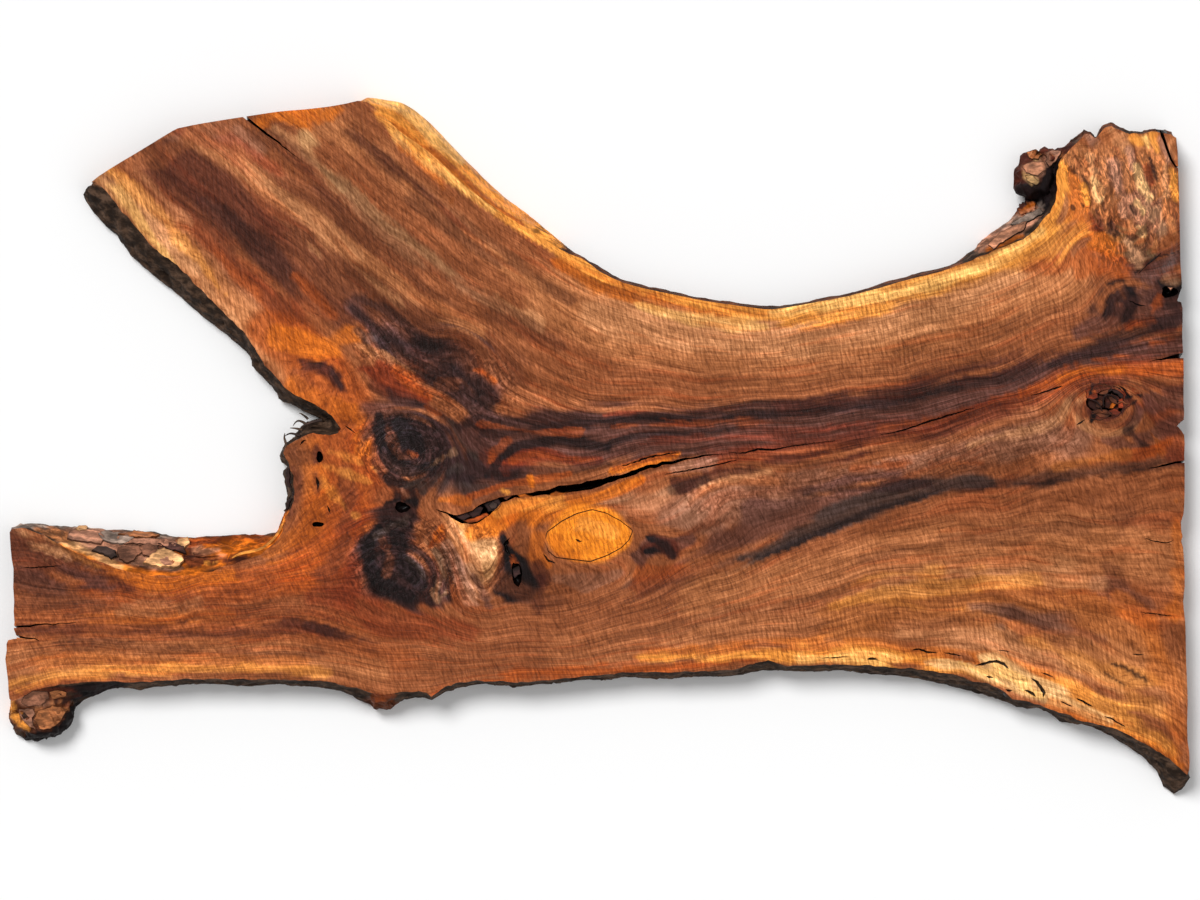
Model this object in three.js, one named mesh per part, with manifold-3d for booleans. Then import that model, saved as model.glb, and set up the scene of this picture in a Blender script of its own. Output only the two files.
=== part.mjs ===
// A live-edge slab sawn lengthwise through the fork of a walnut trunk.
// The trunk's sawn end is on the right. Two limbs leave it on the left: a broad one that rises to the
// upper left and a narrow one that runs straight on below it. Both broad faces are sawn flat, the ends
// of the trunk and of the limbs are sawn square, and every other edge is the tree's own outside, which
// spreads from the upper face to the lower one.
// Millimetres, +Z up, lying on its lower face, with the origin under the middle of its box.
import * as THREE from "three";
import { mergeVertices } from "three/addons/utils/BufferGeometryUtils.js";
import Module from "manifold-3d";

// Driving dimensions.
const LENGTH = 1720;
const THICKNESS = 55;

// The outline was surveyed from above, on a grid of units that counts u to the right and v downwards.
// The sight line to the middle of the upper face is SIGHT_DISTANCE long and leans SIGHT_LEAN from the
// plumb line, so a reading on the foot of an edge is carried down its own sight line to the foot.
const LENGTH_IN_UNITS = 1185;
const UNIT = LENGTH / LENGTH_IN_UNITS;
const MIDDLE_U = 600;
const MIDDLE_V = 450;
const SIGHT_DISTANCE = 8000;
const SIGHT_LEAN = THREE.MathUtils.degToRad(5);

// How the tree's outside runs down from the upper face: share of the thickness still above the lower
// face, and share of the way from the face's edge out to the foot.
const EDGE_PROFILE = [
  { up: 1, out: 0 },
  { up: 0.94, out: 0.14 },
  { up: 0.76, out: 0.44 },
  { up: 0.5, out: 0.74 },
  { up: 0.26, out: 0.93 },
  { up: 0.08, out: 1 },
  { up: 0, out: 0.94 },
];
const FOOT_HEIGHT = 0.08 * THICKNESS;
const STATION_STEP = 14;
const EDGE_ROUGHNESS = 2.6;

// Stations of the outline, clockwise as seen from above. A pair [u, v] stands on a sawn end, where the
// edge drops square. Four numbers [u, v, u, v] are a live edge: the upper face's edge, then the foot.
const BROAD_LIMB_END = [
  [92, 180], [111, 166.5], [131, 154.5], [150, 143], [163, 135], [173, 129], [178, 126.5], [192, 123.5],
  [215, 119.5], [247, 114.5], [281, 109.5], [305, 107.5], [332, 104.3], [346, 101.8], [358, 99],
];
const BROAD_LIMB_INNER_EDGE = [
  [367, 100, 369, 97], [380, 110, 390, 99], [392, 122, 405, 102.5], [405, 133, 417, 110.5],
  [420, 143, 431, 122], [434, 154, 446, 137.5], [448, 167, 461, 153.5], [462, 181, 476, 168],
  [478, 194, 491, 183], [496, 207, 508, 198], [515, 219, 526, 211.5], [535, 232, 544, 226],
  [553, 243, 561, 240], [569, 252, 575, 251],
];
const LONG_HOLLOW = [
  [583, 257, 585, 256], [600, 269.5, 602, 268.5], [620, 279.5, 621, 277.8], [640, 285.5, 641, 283.3],
  [680, 294, 681, 292.2], [705, 299, 705, 297.3], [735, 303.3, 735, 301.6], [765, 307.3, 765, 304.5],
  [780, 306.8, 780, 304.8], [800, 303.3, 800, 301.6], [840, 296, 839.5, 294], [880, 286, 879.5, 283.5],
  [900, 280, 899.5, 276.8], [920, 275, 919.5, 271.7], [940, 270, 939, 267], [957, 264, 955, 261.5],
];
const HEEL_OF_THE_BURL = [
  [968, 260, 965, 255], [980, 255, 974.5, 248], [992, 249.5, 982, 238.5], [1004, 245, 992, 231],
  [1014, 241, 1001, 225], [1024, 237.5, 1011, 217.5], [1034, 230, 1018, 206.5], [1042, 220, 1030, 200],
  [1050, 211, 1040, 190], [1055, 200, 1046, 183], [1058, 188, 1049, 175], [1057, 175, 1049, 166],
  [1058, 163, 1051, 156], [1063, 154, 1055, 148], [1071, 147, 1064, 144.5], [1078, 141, 1073, 137.5],
];
const CROWN = [
  [1085, 132.5, 1084, 129], [1091, 133, 1090, 131.5], [1096, 137, 1096, 136.5], [1100, 131, 1099, 129],
  [1105, 126, 1104, 124], [1112, 125, 1111, 122.5], [1120, 128.5, 1119, 127], [1130, 132.5, 1129, 131.5],
  [1142, 131.5, 1141, 130.5], [1152, 129.5, 1152, 127.8], [1162, 131, 1162, 130], [1171, 132.5, 1171, 131],
];
const TRUNK_END = [
  [1176.5, 136], [1178, 150], [1178.3, 164], [1179, 180], [1180, 220], [1180.8, 262], [1182, 286],
  [1180, 291], [1177.5, 299], [1181.5, 300.5], [1182.5, 335], [1183.3, 349],
  [1183.8, 358], [1184, 375], [1183.8, 400], [1184, 418], [1180, 420.5], [1177.5, 424], [1181, 428],
  [1184.5, 433], [1184.6, 452], [1185, 475], [1184.5, 505], [1183.8, 512], [1181.3, 520], [1181.5, 528],
  [1183, 535], [1181.5, 539], [1183.2, 545], [1184.8, 570], [1185, 585], [1183.5, 600], [1185.5, 620],
  [1186.5, 660], [1188, 700], [1187.5, 720], [1188, 740], [1189.5, 750], [1190, 760], [1189.5, 768],
];
const TOE = [
  [1187.5, 773, 1188, 777], [1183, 769.5, 1182, 787], [1177, 763.5, 1174, 791.5], [1170, 757.5, 1164, 784],
  [1163, 753, 1157.5, 770], [1157, 749.5, 1150, 761], [1150, 745, 1142, 753], [1141, 740, 1133, 747],
  [1131, 734.5, 1122, 740.5], [1122, 729.5, 1112, 734.5], [1111, 725.5, 1102, 729.5],
  [1100, 722.5, 1092, 724.8], [1088, 720.5, 1082, 721.9], [1077, 718.5, 1071, 720.9],
  [1070, 713.5, 1060, 719.5], [1060, 710.5, 1053, 713.5], [1050, 707, 1046, 708.7],
];
const TRUNK_LOWER_EDGE = [
  [1040, 702.8, 1036, 705], [1030, 700.3, 1027, 706], [1020, 698.3, 1017, 704.8], [1012, 697.3, 1008, 700.5],
  [1006, 691, 998, 697], [998, 686, 988, 693.5], [986, 681.5, 975, 690], [972, 678.5, 960, 686.5],
  [957, 674, 946, 682.8], [940, 670.5, 930, 679], [922, 668, 914, 676], [905, 666.5, 900, 674],
  [885, 664.8, 881, 672.8], [865, 664, 862, 670.8], [845, 662.7, 843, 668.3], [825, 663.2, 824, 669],
  [805, 664, 806, 669.8], [790, 664, 790, 668.7], [781, 662.5, 778, 668.6], [769, 658.8, 766, 668.1],
  [756, 661, 754, 669.2], [744, 665.5, 743, 673.2], [732, 667.8, 731, 674], [715, 669, 714, 674],
  [695, 670, 694, 674.8], [675, 670.2, 674, 676], [655, 670.2, 655, 676.5], [638, 670, 636, 675.3],
  [622, 671, 621, 675.2], [608, 672.2, 609, 677.2], [590, 674.5, 588, 677.7], [550, 678, 549, 681.2],
  [530, 679.8, 530, 683.2], [513, 680.3, 513, 684.6], [500, 679, 500, 682.5], [485, 679.2, 485, 681.8],
  [470, 679.7, 470, 683.8], [457, 681, 455, 686.2], [446, 685.2, 445, 690], [438, 690, 438, 694.5],
];
const SPUR_AND_BOSS = [
  [432, 695.2, 432, 698], [427, 691.5, 425, 695.5], [419, 689.7, 416, 694.3], [407, 690, 404, 697.5],
  [396, 691.7, 396, 703.5], [385, 693, 387, 707], [374, 691.5, 375, 706], [365, 688.8, 366, 700.5],
  [354, 686, 353, 693.5],
];
const NARROW_LIMB_LOWER_EDGE = [
  [341, 682.5, 340, 689], [327, 680, 326, 686.5], [312, 678.3, 310, 684.5], [295, 678, 293, 683],
  [275, 677.7, 273, 682], [255, 677.7, 252, 684], [240, 676.5, 238, 683.6], [225, 677.2, 223, 682.5],
  [208, 677.8, 206, 681.5], [190, 677.5, 188, 682], [172, 678, 170, 684], [155, 679.4, 153, 685.3],
  [138, 680, 138, 686.6], [122, 680, 121, 685.6], [108, 679.5, 108, 687.8], [96, 680, 96, 693.5],
];
const STUB_FOOT = [
  [84, 680.5, 84, 698.7], [72, 681.7, 76, 705], [60, 683.3, 71, 716], [50, 685, 64, 727],
  [41, 687, 52, 735], [33, 689, 38, 738.8], [27, 693, 26, 738.2], [19, 697, 17, 732], [13, 699.5, 12, 718],
];
const NARROW_LIMB_END = [
  [9.8, 697], [8.5, 680], [7, 668], [5.6, 657], [7, 648.5], [6.8, 642], [8.5, 638.3], [13, 637.2],
  [17, 636.8], [16, 632], [14.2, 627.5], [14.8, 620], [14, 610], [14.5, 600], [13.5, 585], [13.8, 567],
  [12, 557], [10.3, 537], [10, 530.5],
];
const NARROW_LIMB_UPPER_EDGE = [
  [12, 527.5, 13, 526], [22, 526, 22, 522.3], [33, 529.5, 34, 521.8], [45, 534, 47, 523],
  [57, 541, 61, 524], [70, 548, 76, 525], [86, 554.5, 91, 526], [103, 561, 107, 527],
  [120, 567, 123, 528.2], [138, 571.5, 139, 529], [156, 573.5, 155, 530], [172, 574, 170, 533.3],
  [188, 573.5, 187, 535.6], [204, 571, 203, 535.4], [220, 566.5, 219, 534], [236, 561, 235, 533],
  [250, 556.5, 250, 533], [262, 551, 262, 532.7], [271, 545, 270, 532.2], [278, 538, 276, 531],
  [283, 530, 280, 527.5], [286, 521, 282, 519],
];
const FORK = [
  [288, 513, 285, 512.5], [291, 506, 287, 507], [294, 499, 286, 501.5], [294.5, 491, 289, 495],
  [294, 483, 285, 484], [293.5, 475, 284.8, 476], [291, 468.5, 285.5, 470.5], [289.5, 463, 289, 466],
  [286, 457.5, 283, 460.5], [284, 451, 280, 454], [286, 445, 283, 447], [292, 441.3, 287.5, 441],
  [300, 437, 295, 434.5], [307, 432.3, 299.5, 429.5],
];
const BARK_POCKET = [
  [314, 430.7, 301.5, 424.5], [322, 433.3, 307, 421], [331, 434, 314.5, 419.8], [338, 431.8, 321, 419],
  [341, 427, 322.3, 418.8], [338, 421, 321.5, 417.5], [332, 414.3, 317.5, 414.5],
  [325, 408.3, 310, 411.6], [315, 402.2, 303, 409], [305, 397.7, 297, 405], [296, 393, 290, 401.8],
];
const BROAD_LIMB_OUTER_EDGE = [
  [289, 389, 283.5, 400], [284, 383.5, 278.5, 394], [278, 376.5, 273, 385.5], [271, 370, 267, 379.3],
  [265, 363.5, 261, 372.5], [259, 354, 254, 364.5], [255, 346, 252.3, 357.5], [250, 338, 247, 349.5],
  [243, 328.5, 238, 342], [233, 319.5, 226, 332.5], [213, 299.5, 202, 313.5], [190, 277, 178, 292.5],
  [178, 264, 166, 283.3], [165, 254.5, 153, 273], [154, 246.5, 143, 264], [145, 236, 132, 254.5],
  [135, 224, 124, 242.5], [125, 212.5, 114, 231.5], [116, 201, 104, 222], [108, 191, 95, 212],
  [102, 185, 89.5, 204], [97, 181, 84, 195], [95, 180.2, 88, 188],
];
const OUTLINE = [
  ...BROAD_LIMB_END, ...BROAD_LIMB_INNER_EDGE, ...LONG_HOLLOW, ...HEEL_OF_THE_BURL, ...CROWN,
  ...TRUNK_END, ...TOE, ...TRUNK_LOWER_EDGE, ...SPUR_AND_BOSS, ...NARROW_LIMB_LOWER_EDGE, ...STUB_FOOT,
  ...NARROW_LIMB_END, ...NARROW_LIMB_UPPER_EDGE, ...FORK, ...BARK_POCKET, ...BROAD_LIMB_OUTER_EDGE,
];

// Splits, each as stations [u, v, half width in mm] along its length, with how deep it goes.
const SPLITS = [
  {
    name: "heart crack",
    depth: 44,
    stations: [
      [437, 508, 0.5], [447, 512, 1.5], [457, 516, 4], [468, 517, 9], [480, 512, 11], [491, 505, 9],
      [501, 498, 5], [515, 494.5, 2.5], [532, 492.5, 3], [545, 491, 4.5], [560, 488.5, 6.5],
      [578, 485.5, 6.5], [596, 482, 6], [612, 477.5, 4.5], [628, 473, 3], [640, 468, 3],
      [655, 463.5, 3.2], [672, 460, 2.4], [690, 456.5, 1.6], [706, 453.5, 1.2], [722, 452, 0.5],
    ],
  },
  {
    name: "broad limb's end check",
    depth: 40,
    stations: [[242, 112.5, 2.2], [256, 123.5, 1.8], [270, 134, 1.6], [282, 144, 1], [299, 157, 0.4]],
  },
  {
    name: "trunk end check",
    depth: 46,
    stations: [[1192, 352.5, 5.5], [1176, 354.5, 3], [1166, 356.5, 1.8], [1150, 359.5, 0.4]],
  },
  {
    name: "trunk end shake",
    depth: 38,
    stations: [[1190, 459.5, 2], [1176, 460.5, 1.6], [1163, 463.5, 1.2], [1150, 467, 0.4]],
  },
  {
    name: "crown check",
    depth: 42,
    stations: [[1161, 127, 2.4], [1166, 143, 2.2], [1171, 157, 1.8], [1176, 165, 1.4], [1182, 165.5, 1.2]],
  },
  {
    name: "narrow limb's upper check",
    depth: 34,
    stations: [[8, 625.5, 1.6], [30, 624, 1.4], [50, 622.5, 0.9], [76, 620.5, 0.4]],
  },
  {
    name: "narrow limb's lower check",
    depth: 48,
    stations: [[4, 633.5, 1.8], [18, 634.5, 1.8], [30, 637.2, 1], [40, 638, 0.4]],
  },
];
const SPLIT_FLOOR = 0.35;
const CUT_CLEARANCE = 3;

// Pockets sunk into the upper face: middle, half sizes in mm and depth.
const POCKETS = [
  { name: "rotten knot", u: 1107, v: 401, along: 28, across: 21, depth: 17, lumps: 0.22 },
  { name: "charred seam", u: 517, v: 572, along: 7, across: 16, depth: 9, lumps: 0.25 },
  { name: "fork eye", u: 402, v: 505, along: 12, across: 8, depth: 8, lumps: 0.25 },
  { name: "borer hole", u: 320, v: 455, along: 4.5, across: 9, depth: 14, lumps: 0.1 },
  { name: "leaning borer hole", u: 318, v: 522.5, along: 8.5, across: 3.2, depth: 12, lumps: 0.1 },
  { name: "trunk end hollow", u: 1170, v: 290, along: 13, across: 8, depth: 18, lumps: 0.2 },
];

// Lumps grown out of the edge: middle, half sizes in mm along u, across and up, turn in plan,
// height of the middle, and the height at which the top is flat.
const LUMPS = [
  { name: "burl", u: 1037, v: 173, along: 29, across: 37, up: 25, turn: -0.15, height: 26, flat: 49 },
  { name: "burl shoulder", u: 1053, v: 154, along: 19, across: 12, up: 20, turn: -0.5, height: 28, flat: 47 },
  { name: "burl heel", u: 1030, v: 204, along: 14, across: 12, up: 18, turn: 0.6, height: 20, flat: 36 },
  { name: "stub", u: 40, v: 710, along: 47, across: 35, up: 40, turn: -0.12, height: 12, flat: 41 },
  { name: "boss", u: 383, v: 697, along: 16, across: 12, up: 22, turn: 0, height: 18, flat: 40 },
];
const LUMP_ROUGHNESS = 0.13;
const LUMP_DETAIL = 5;

// Flakes of bark left on the sloping upper edge of the narrow limb: middle, half sizes in mm along and
// across, turn in plan and height of the middle. Each leans with the slope it lies on.
const BARK_FLAKES = [
  { name: "grey flake", u: 104, v: 553, along: 20, across: 9, turn: -0.1, height: 44 },
  { name: "red flake", u: 127, v: 557, along: 21, across: 10, turn: 0.05, height: 43 },
  { name: "tan flake", u: 161, v: 558, along: 29, across: 14, turn: -0.05, height: 43 },
  { name: "high flake", u: 92, v: 537, along: 30, across: 9, turn: -0.1, height: 26 },
  { name: "long flake", u: 139, v: 539, along: 40, across: 9, turn: -0.06, height: 28 },
  { name: "inner bark", u: 216, v: 549, along: 36, across: 12, turn: 0.1, height: 38 },
];
const FLAKE_THICKNESS = 5;
const FLAKE_LEAN = 0.8;

const WALNUT = new THREE.MeshStandardMaterial({ color: 0x8a4a24, roughness: 0.42, metalness: 0 });

// Where the sight line through reading (u, v) meets height z, in plan.
function sighted(u, v, z) {
  const back = new THREE.Vector3(0, -Math.sin(SIGHT_LEAN), Math.cos(SIGHT_LEAN));
  const up = new THREE.Vector3(0, Math.cos(SIGHT_LEAN), Math.sin(SIGHT_LEAN));
  const eye = new THREE.Vector3(0, 0, THICKNESS).addScaledVector(back, SIGHT_DISTANCE);
  const line = back.clone().multiplyScalar(-SIGHT_DISTANCE);
  line.x += (u - MIDDLE_U) * UNIT;
  line.addScaledVector(up, (MIDDLE_V - v) * UNIT);
  const reach = (z - eye.z) / line.z;
  return new THREE.Vector2(eye.x + line.x * reach, eye.y + line.y * reach);
}

// A smooth, repeatable unevenness between about -1 and 1.
function unevenness(x, y, z) {
  return (
    0.45 * Math.sin(x * 0.083 + 1.7 * Math.sin(y * 0.061 + z * 0.05)) +
    0.35 * Math.sin(y * 0.117 + z * 0.09 + 1.3 * Math.sin(x * 0.051)) +
    0.2 * Math.sin((x + y) * 0.231 + z * 0.31)
  );
}

// The outline's stations as smooth closed curves of the face's edge and of the foot, cut into steps.
function stationsAround() {
  const faces = [];
  const feet = [];
  for (const [u, v, footU, footV] of OUTLINE) {
    const live = footU !== undefined;
    const face = sighted(u, v, THICKNESS);
    const foot = live ? sighted(footU, footV, FOOT_HEIGHT) : face;
    faces.push(new THREE.Vector3(face.x, face.y, live ? 1 : 0));
    feet.push(new THREE.Vector3(foot.x, foot.y, 0));
  }
  const faceCurve = new THREE.CatmullRomCurve3(faces, true, "centripetal");
  const footCurve = new THREE.CatmullRomCurve3(feet, true, "centripetal");
  const stations = [];
  faces.forEach((face, i) => {
    const next = faces[(i + 1) % faces.length];
    const steps = Math.max(1, Math.round(Math.hypot(next.x - face.x, next.y - face.y) / STATION_STEP));
    for (let k = 0; k < steps; k++) {
      const t = (i + k / steps) / faces.length;
      const edge = faceCurve.getPoint(t);
      const foot = footCurve.getPoint(t);
      stations.push({ edge, foot, live: THREE.MathUtils.clamp(edge.z, 0, 1) });
    }
  });
  return stations.reverse();
}

// One ring of the edge, at share `up` of the thickness and share `out` of the way to the foot.
function ringAt({ up, out }, stations) {
  const z = up * THICKNESS;
  return stations.map(({ edge, foot, live }, i) => {
    const before = stations[(i + stations.length - 1) % stations.length].foot;
    const after = stations[(i + 1) % stations.length].foot;
    const outward = new THREE.Vector2(after.y - before.y, before.x - after.x).normalize();
    const swell = EDGE_ROUGHNESS * live * Math.sin(Math.PI * up) * unevenness(foot.x, foot.y, 3 * z);
    return new THREE.Vector3(
      edge.x + (foot.x - edge.x) * out + outward.x * swell,
      edge.y + (foot.y - edge.y) * out + outward.y * swell,
      z,
    );
  });
}

// The plain slab: the edge's rings skinned together and closed by the two sawn faces.
function slabBody() {
  const stations = stationsAround();
  const rings = EDGE_PROFILE.map((level) => ringAt(level, stations));
  const count = stations.length;
  const faces = [];
  for (let r = 0; r + 1 < rings.length; r++)
    for (let i = 0; i < count; i++) {
      const a = r * count + i;
      const b = r * count + ((i + 1) % count);
      faces.push(a, a + count, b, b, a + count, b + count);
    }
  const flat = (ring) => ring.map((p) => new THREE.Vector2(p.x, p.y));
  for (const [a, b, c] of THREE.ShapeUtils.triangulateShape(flat(rings[0]), [])) faces.push(a, b, c);
  const last = (rings.length - 1) * count;
  for (const [a, b, c] of THREE.ShapeUtils.triangulateShape(flat(rings.at(-1)), []))
    faces.push(last + a, last + c, last + b);
  return new THREE.BufferGeometry().setFromPoints(rings.flat()).setIndex(faces);
}

// A wedge that narrows downwards and follows a split's stations.
function splitCutter({ depth, stations }) {
  const line = stations.map(([u, v]) => sighted(u, v, THICKNESS));
  const points = [];
  stations.forEach(([, , half], i) => {
    const before = line[Math.max(i - 1, 0)];
    const after = line[Math.min(i + 1, line.length - 1)];
    const side = new THREE.Vector2(before.y - after.y, after.x - before.x).normalize();
    const put = (offset, z) =>
      points.push(new THREE.Vector3(line[i].x + side.x * offset, line[i].y + side.y * offset, z));
    put(half, THICKNESS + CUT_CLEARANCE);
    put(-half, THICKNESS + CUT_CLEARANCE);
    put(-half * SPLIT_FLOOR, THICKNESS - depth);
    put(half * SPLIT_FLOOR, THICKNESS - depth);
  });
  const faces = [0, 2, 1, 0, 3, 2];
  for (let i = 0; i + 1 < stations.length; i++)
    for (let k = 0; k < 4; k++) {
      const a = i * 4 + k;
      const b = i * 4 + ((k + 1) % 4);
      faces.push(a, b, a + 4, b, b + 4, a + 4);
    }
  const end = (stations.length - 1) * 4;
  faces.push(end, end + 1, end + 2, end, end + 2, end + 3);
  return new THREE.BufferGeometry().setFromPoints(points).setIndex(faces);
}

// A ball with an uneven surface, of the given half sizes, turned in plan and set down at its place.
function unevenBall({ u, v, along, across, turn = 0 }, up, height, roughness, detail) {
  const ball = new THREE.IcosahedronGeometry(1, detail);
  const place = ball.attributes.position;
  const p = new THREE.Vector3();
  for (let i = 0; i < place.count; i++) {
    p.fromBufferAttribute(place, i);
    p.multiplyScalar(1 + roughness * unevenness(p.x * 31 + u, p.y * 31 + v, p.z * 27));
    place.setXYZ(i, p.x, p.y, p.z);
  }
  const middle = sighted(u, v, THICKNESS);
  return ball
    .scale(along, across, up)
    .rotateZ(turn)
    .translate(middle.x, middle.y, height);
}

// A lump whose top is cut flat where the saw or the axe took it off.
function lumpOf(lump) {
  const ball = unevenBall(lump, lump.up, lump.height, LUMP_ROUGHNESS, LUMP_DETAIL);
  const place = ball.attributes.position;
  for (let i = 0; i < place.count; i++) {
    const z = place.getZ(i);
    const top = lump.flat + 1.5 * unevenness(place.getX(i) * 2, place.getY(i) * 2, 0);
    place.setZ(i, THREE.MathUtils.clamp(z, 0, top));
  }
  return ball;
}

// A thin flake that lies against the slope, with its broken edge standing a little proud.
function flakeOf(flake) {
  const place = sighted(flake.u, flake.v, flake.height);
  return new THREE.IcosahedronGeometry(1, 3)
    .scale(flake.along, flake.across, FLAKE_THICKNESS)
    .rotateZ(flake.turn)
    .rotateX(-FLAKE_LEAN)
    .translate(place.x, place.y, flake.height);
}

// A closed geometry as a solid, and a solid as a geometry.
function solidOf(wasm, geometry) {
  const bare = new THREE.BufferGeometry().setAttribute("position", geometry.getAttribute("position"));
  bare.setIndex(geometry.getIndex());
  const merged = mergeVertices(bare, 1e-3);
  return new wasm.Manifold(
    new wasm.Mesh({
      numProp: 3,
      vertProperties: new Float32Array(merged.attributes.position.array),
      triVerts: new Uint32Array(merged.index.array),
    }),
  );
}

function geometryOf(solid) {
  const mesh = solid.getMesh();
  return new THREE.BufferGeometry()
    .setAttribute("position", new THREE.BufferAttribute(new Float32Array(mesh.vertProperties), 3))
    .setIndex(new THREE.BufferAttribute(mesh.triVerts, 1));
}

// The slab with its lumps grown on, and its splits and pockets cut in.
function slabSolid(wasm) {
  let slab = solidOf(wasm, slabBody());
  for (const lump of LUMPS) slab = slab.add(solidOf(wasm, lumpOf(lump)));
  for (const flake of BARK_FLAKES) slab = slab.add(solidOf(wasm, flakeOf(flake)));
  for (const split of SPLITS) slab = slab.subtract(solidOf(wasm, splitCutter(split)));
  for (const pocket of POCKETS) {
    const hollow = unevenBall(pocket, pocket.depth, THICKNESS, pocket.lumps, 3);
    slab = slab.subtract(solidOf(wasm, hollow));
  }
  return slab;
}

const wasm = await Module();
wasm.setup();
const geometry = geometryOf(slabSolid(wasm));
geometry.computeBoundingBox();
const box = geometry.boundingBox;
geometry.translate(-(box.min.x + box.max.x) / 2, -(box.min.y + box.max.y) / 2, -box.min.z);
const slab = new THREE.Mesh(geometry, WALNUT);
slab.name = "slab";

const part = new THREE.Group();
part.add(slab);
export default part;
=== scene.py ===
"""Looks for a live-edge walnut slab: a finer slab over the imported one, its figure, bark, camera and light."""

import logging
import math
import re
from collections.abc import Iterator
from dataclasses import dataclass, field
from enum import Enum, IntEnum

import bmesh
import bpy
import numpy as np
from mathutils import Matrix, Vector
from mathutils.geometry import delaunay_2d_cdt


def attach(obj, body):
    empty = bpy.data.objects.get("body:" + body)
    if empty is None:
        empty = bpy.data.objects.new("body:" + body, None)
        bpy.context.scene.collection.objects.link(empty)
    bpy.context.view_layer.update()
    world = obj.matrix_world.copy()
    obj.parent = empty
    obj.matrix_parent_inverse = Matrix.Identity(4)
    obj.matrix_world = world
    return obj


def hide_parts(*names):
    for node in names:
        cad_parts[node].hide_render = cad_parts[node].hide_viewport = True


LOG = logging.getLogger("walnut_slab")
THICKNESS = 0.055
MILLIMETRE = 1000
FAR = 1e9
TINY = 1e-12

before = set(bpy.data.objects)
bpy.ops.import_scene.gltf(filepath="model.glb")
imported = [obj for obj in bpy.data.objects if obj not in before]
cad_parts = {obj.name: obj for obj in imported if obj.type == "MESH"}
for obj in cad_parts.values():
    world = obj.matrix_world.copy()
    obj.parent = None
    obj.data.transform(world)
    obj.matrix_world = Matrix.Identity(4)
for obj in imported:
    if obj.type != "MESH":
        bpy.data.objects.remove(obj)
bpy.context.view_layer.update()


@dataclass(frozen=True)
class Survey:
    """The grid the slab was surveyed on from above: u to the right, v downwards."""

    unit: float = 1.720 / 1185
    middle_u: float = 600.0
    middle_v: float = 450.0
    distance: float = 8.0
    lean: float = math.radians(5)
    shift_x: float = 0.002987
    shift_y: float = -0.012932

    def eye(self) -> Vector:
        """Gives the place the slab was surveyed from."""
        back, up = math.sin(self.lean) * self.distance, math.cos(self.lean) * self.distance
        return Vector((self.shift_x, self.shift_y - back, THICKNESS + up))

    def at(self, u: np.ndarray, v: np.ndarray, z: float = THICKNESS) -> tuple[np.ndarray, np.ndarray]:
        """Gives the place in plan of a reading.

        Args:
            u: Readings to the right.
            v: Readings downwards.
            z: Height that the sight lines are followed down to, in metres.

        Returns:
            The places along X and along Y, in metres.
        """
        u = np.asarray(u, float)
        v = np.asarray(v, float)
        sin, cos = math.sin(self.lean), math.cos(self.lean)
        eye_y, eye_z = -sin * self.distance, THICKNESS + cos * self.distance
        rise = (self.middle_v - v) * self.unit
        line_x = (u - self.middle_u) * self.unit
        line_y = sin * self.distance + cos * rise
        line_z = -cos * self.distance + sin * rise
        reach = (z - eye_z) / line_z
        return line_x * reach + self.shift_x, eye_y + line_y * reach + self.shift_y

    def reading(self, x: np.ndarray, y: np.ndarray, z: np.ndarray) -> tuple[np.ndarray, np.ndarray]:
        """Gives the readings of places on the slab.

        Args:
            x: Places along X, in metres.
            y: Places along Y, in metres.
            z: Heights, in metres.

        Returns:
            The readings to the right and downwards.
        """
        sin, cos = math.sin(self.lean), math.cos(self.lean)
        dx = x - self.shift_x
        dy = y - self.shift_y + sin * self.distance
        dz = z - THICKNESS - cos * self.distance
        depth = sin * dy - cos * dz
        up = cos * dy + sin * dz
        scale = self.distance / depth / self.unit
        return self.middle_u + dx * scale, self.middle_v - up * scale


SURVEY = Survey()


def linear(red: int, green: int, blue: int) -> tuple[float, float, float]:
    """Turns a colour as seen on a screen, 0 to 255, into the light values that a shader takes.

    Args:
        red: Red, 0 to 255.
        green: Green, 0 to 255.
        blue: Blue, 0 to 255.

    Returns:
        The three light values.
    """

    def one(value: int) -> float:
        """Turns one channel."""
        share = value / 255
        return share / 12.92 if share <= 0.04045 else ((share + 0.055) / 1.055) ** 2.4

    return one(red), one(green), one(blue)


class Tint(Enum):
    """The colours of oiled walnut and its bark, also used for the shade and highlights painted on it."""

    BROWN = linear(142, 78, 43)
    TAN = linear(182, 112, 66)
    FAWN = linear(206, 140, 92)
    ASH = linear(158, 112, 80)
    TAUPE = linear(130, 84, 62)
    DUSK = linear(86, 51, 43)
    HONEY = linear(170, 96, 44)
    UMBER = linear(100, 52, 30)
    WINE = linear(78, 34, 22)
    RED = linear(124, 46, 20)
    RUST = linear(164, 72, 20)
    ORANGE = linear(206, 104, 22)
    GOLD = linear(238, 151, 62)
    SAP = linear(252, 188, 104)
    KNOT_ORANGE = linear(238, 134, 32)
    CREAM = linear(220, 170, 112)
    PLUM = linear(46, 26, 23)
    SOOT = linear(26, 17, 17)
    SLATE = linear(62, 46, 40)
    BARK = linear(70, 52, 40)
    BARK_GREY = linear(146, 124, 110)
    BAST = linear(172, 118, 92)
    BARK_TAN = linear(232, 172, 116)
    PINK_CLAY = linear(196, 132, 98)
    MOSS = linear(104, 84, 52)


class Surface(IntEnum):
    """The kinds of surface that meet at a sharp edge."""

    FACE = 1
    UNDERSIDE = 2
    CUT = 3
    OUTSIDE = 4


def drawn(text: str) -> Iterator[tuple[list[str], tuple[tuple[float, ...], ...]]]:
    """Reads a table of drawn lines.

    Args:
        text: Rows that end in a semicolon: a head of words or numbers, a colon, and points parted by commas.
            What stands behind a # is left out.

    Returns:
        For each row the words of its head, and its points as numbers.
    """
    for row in re.sub("#.*", "", text).split(";")[:-1]:
        head, line = row.split(":")
        yield head.split(), tuple(tuple(float(part) for part in point.split()) for point in line.split(","))


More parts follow.
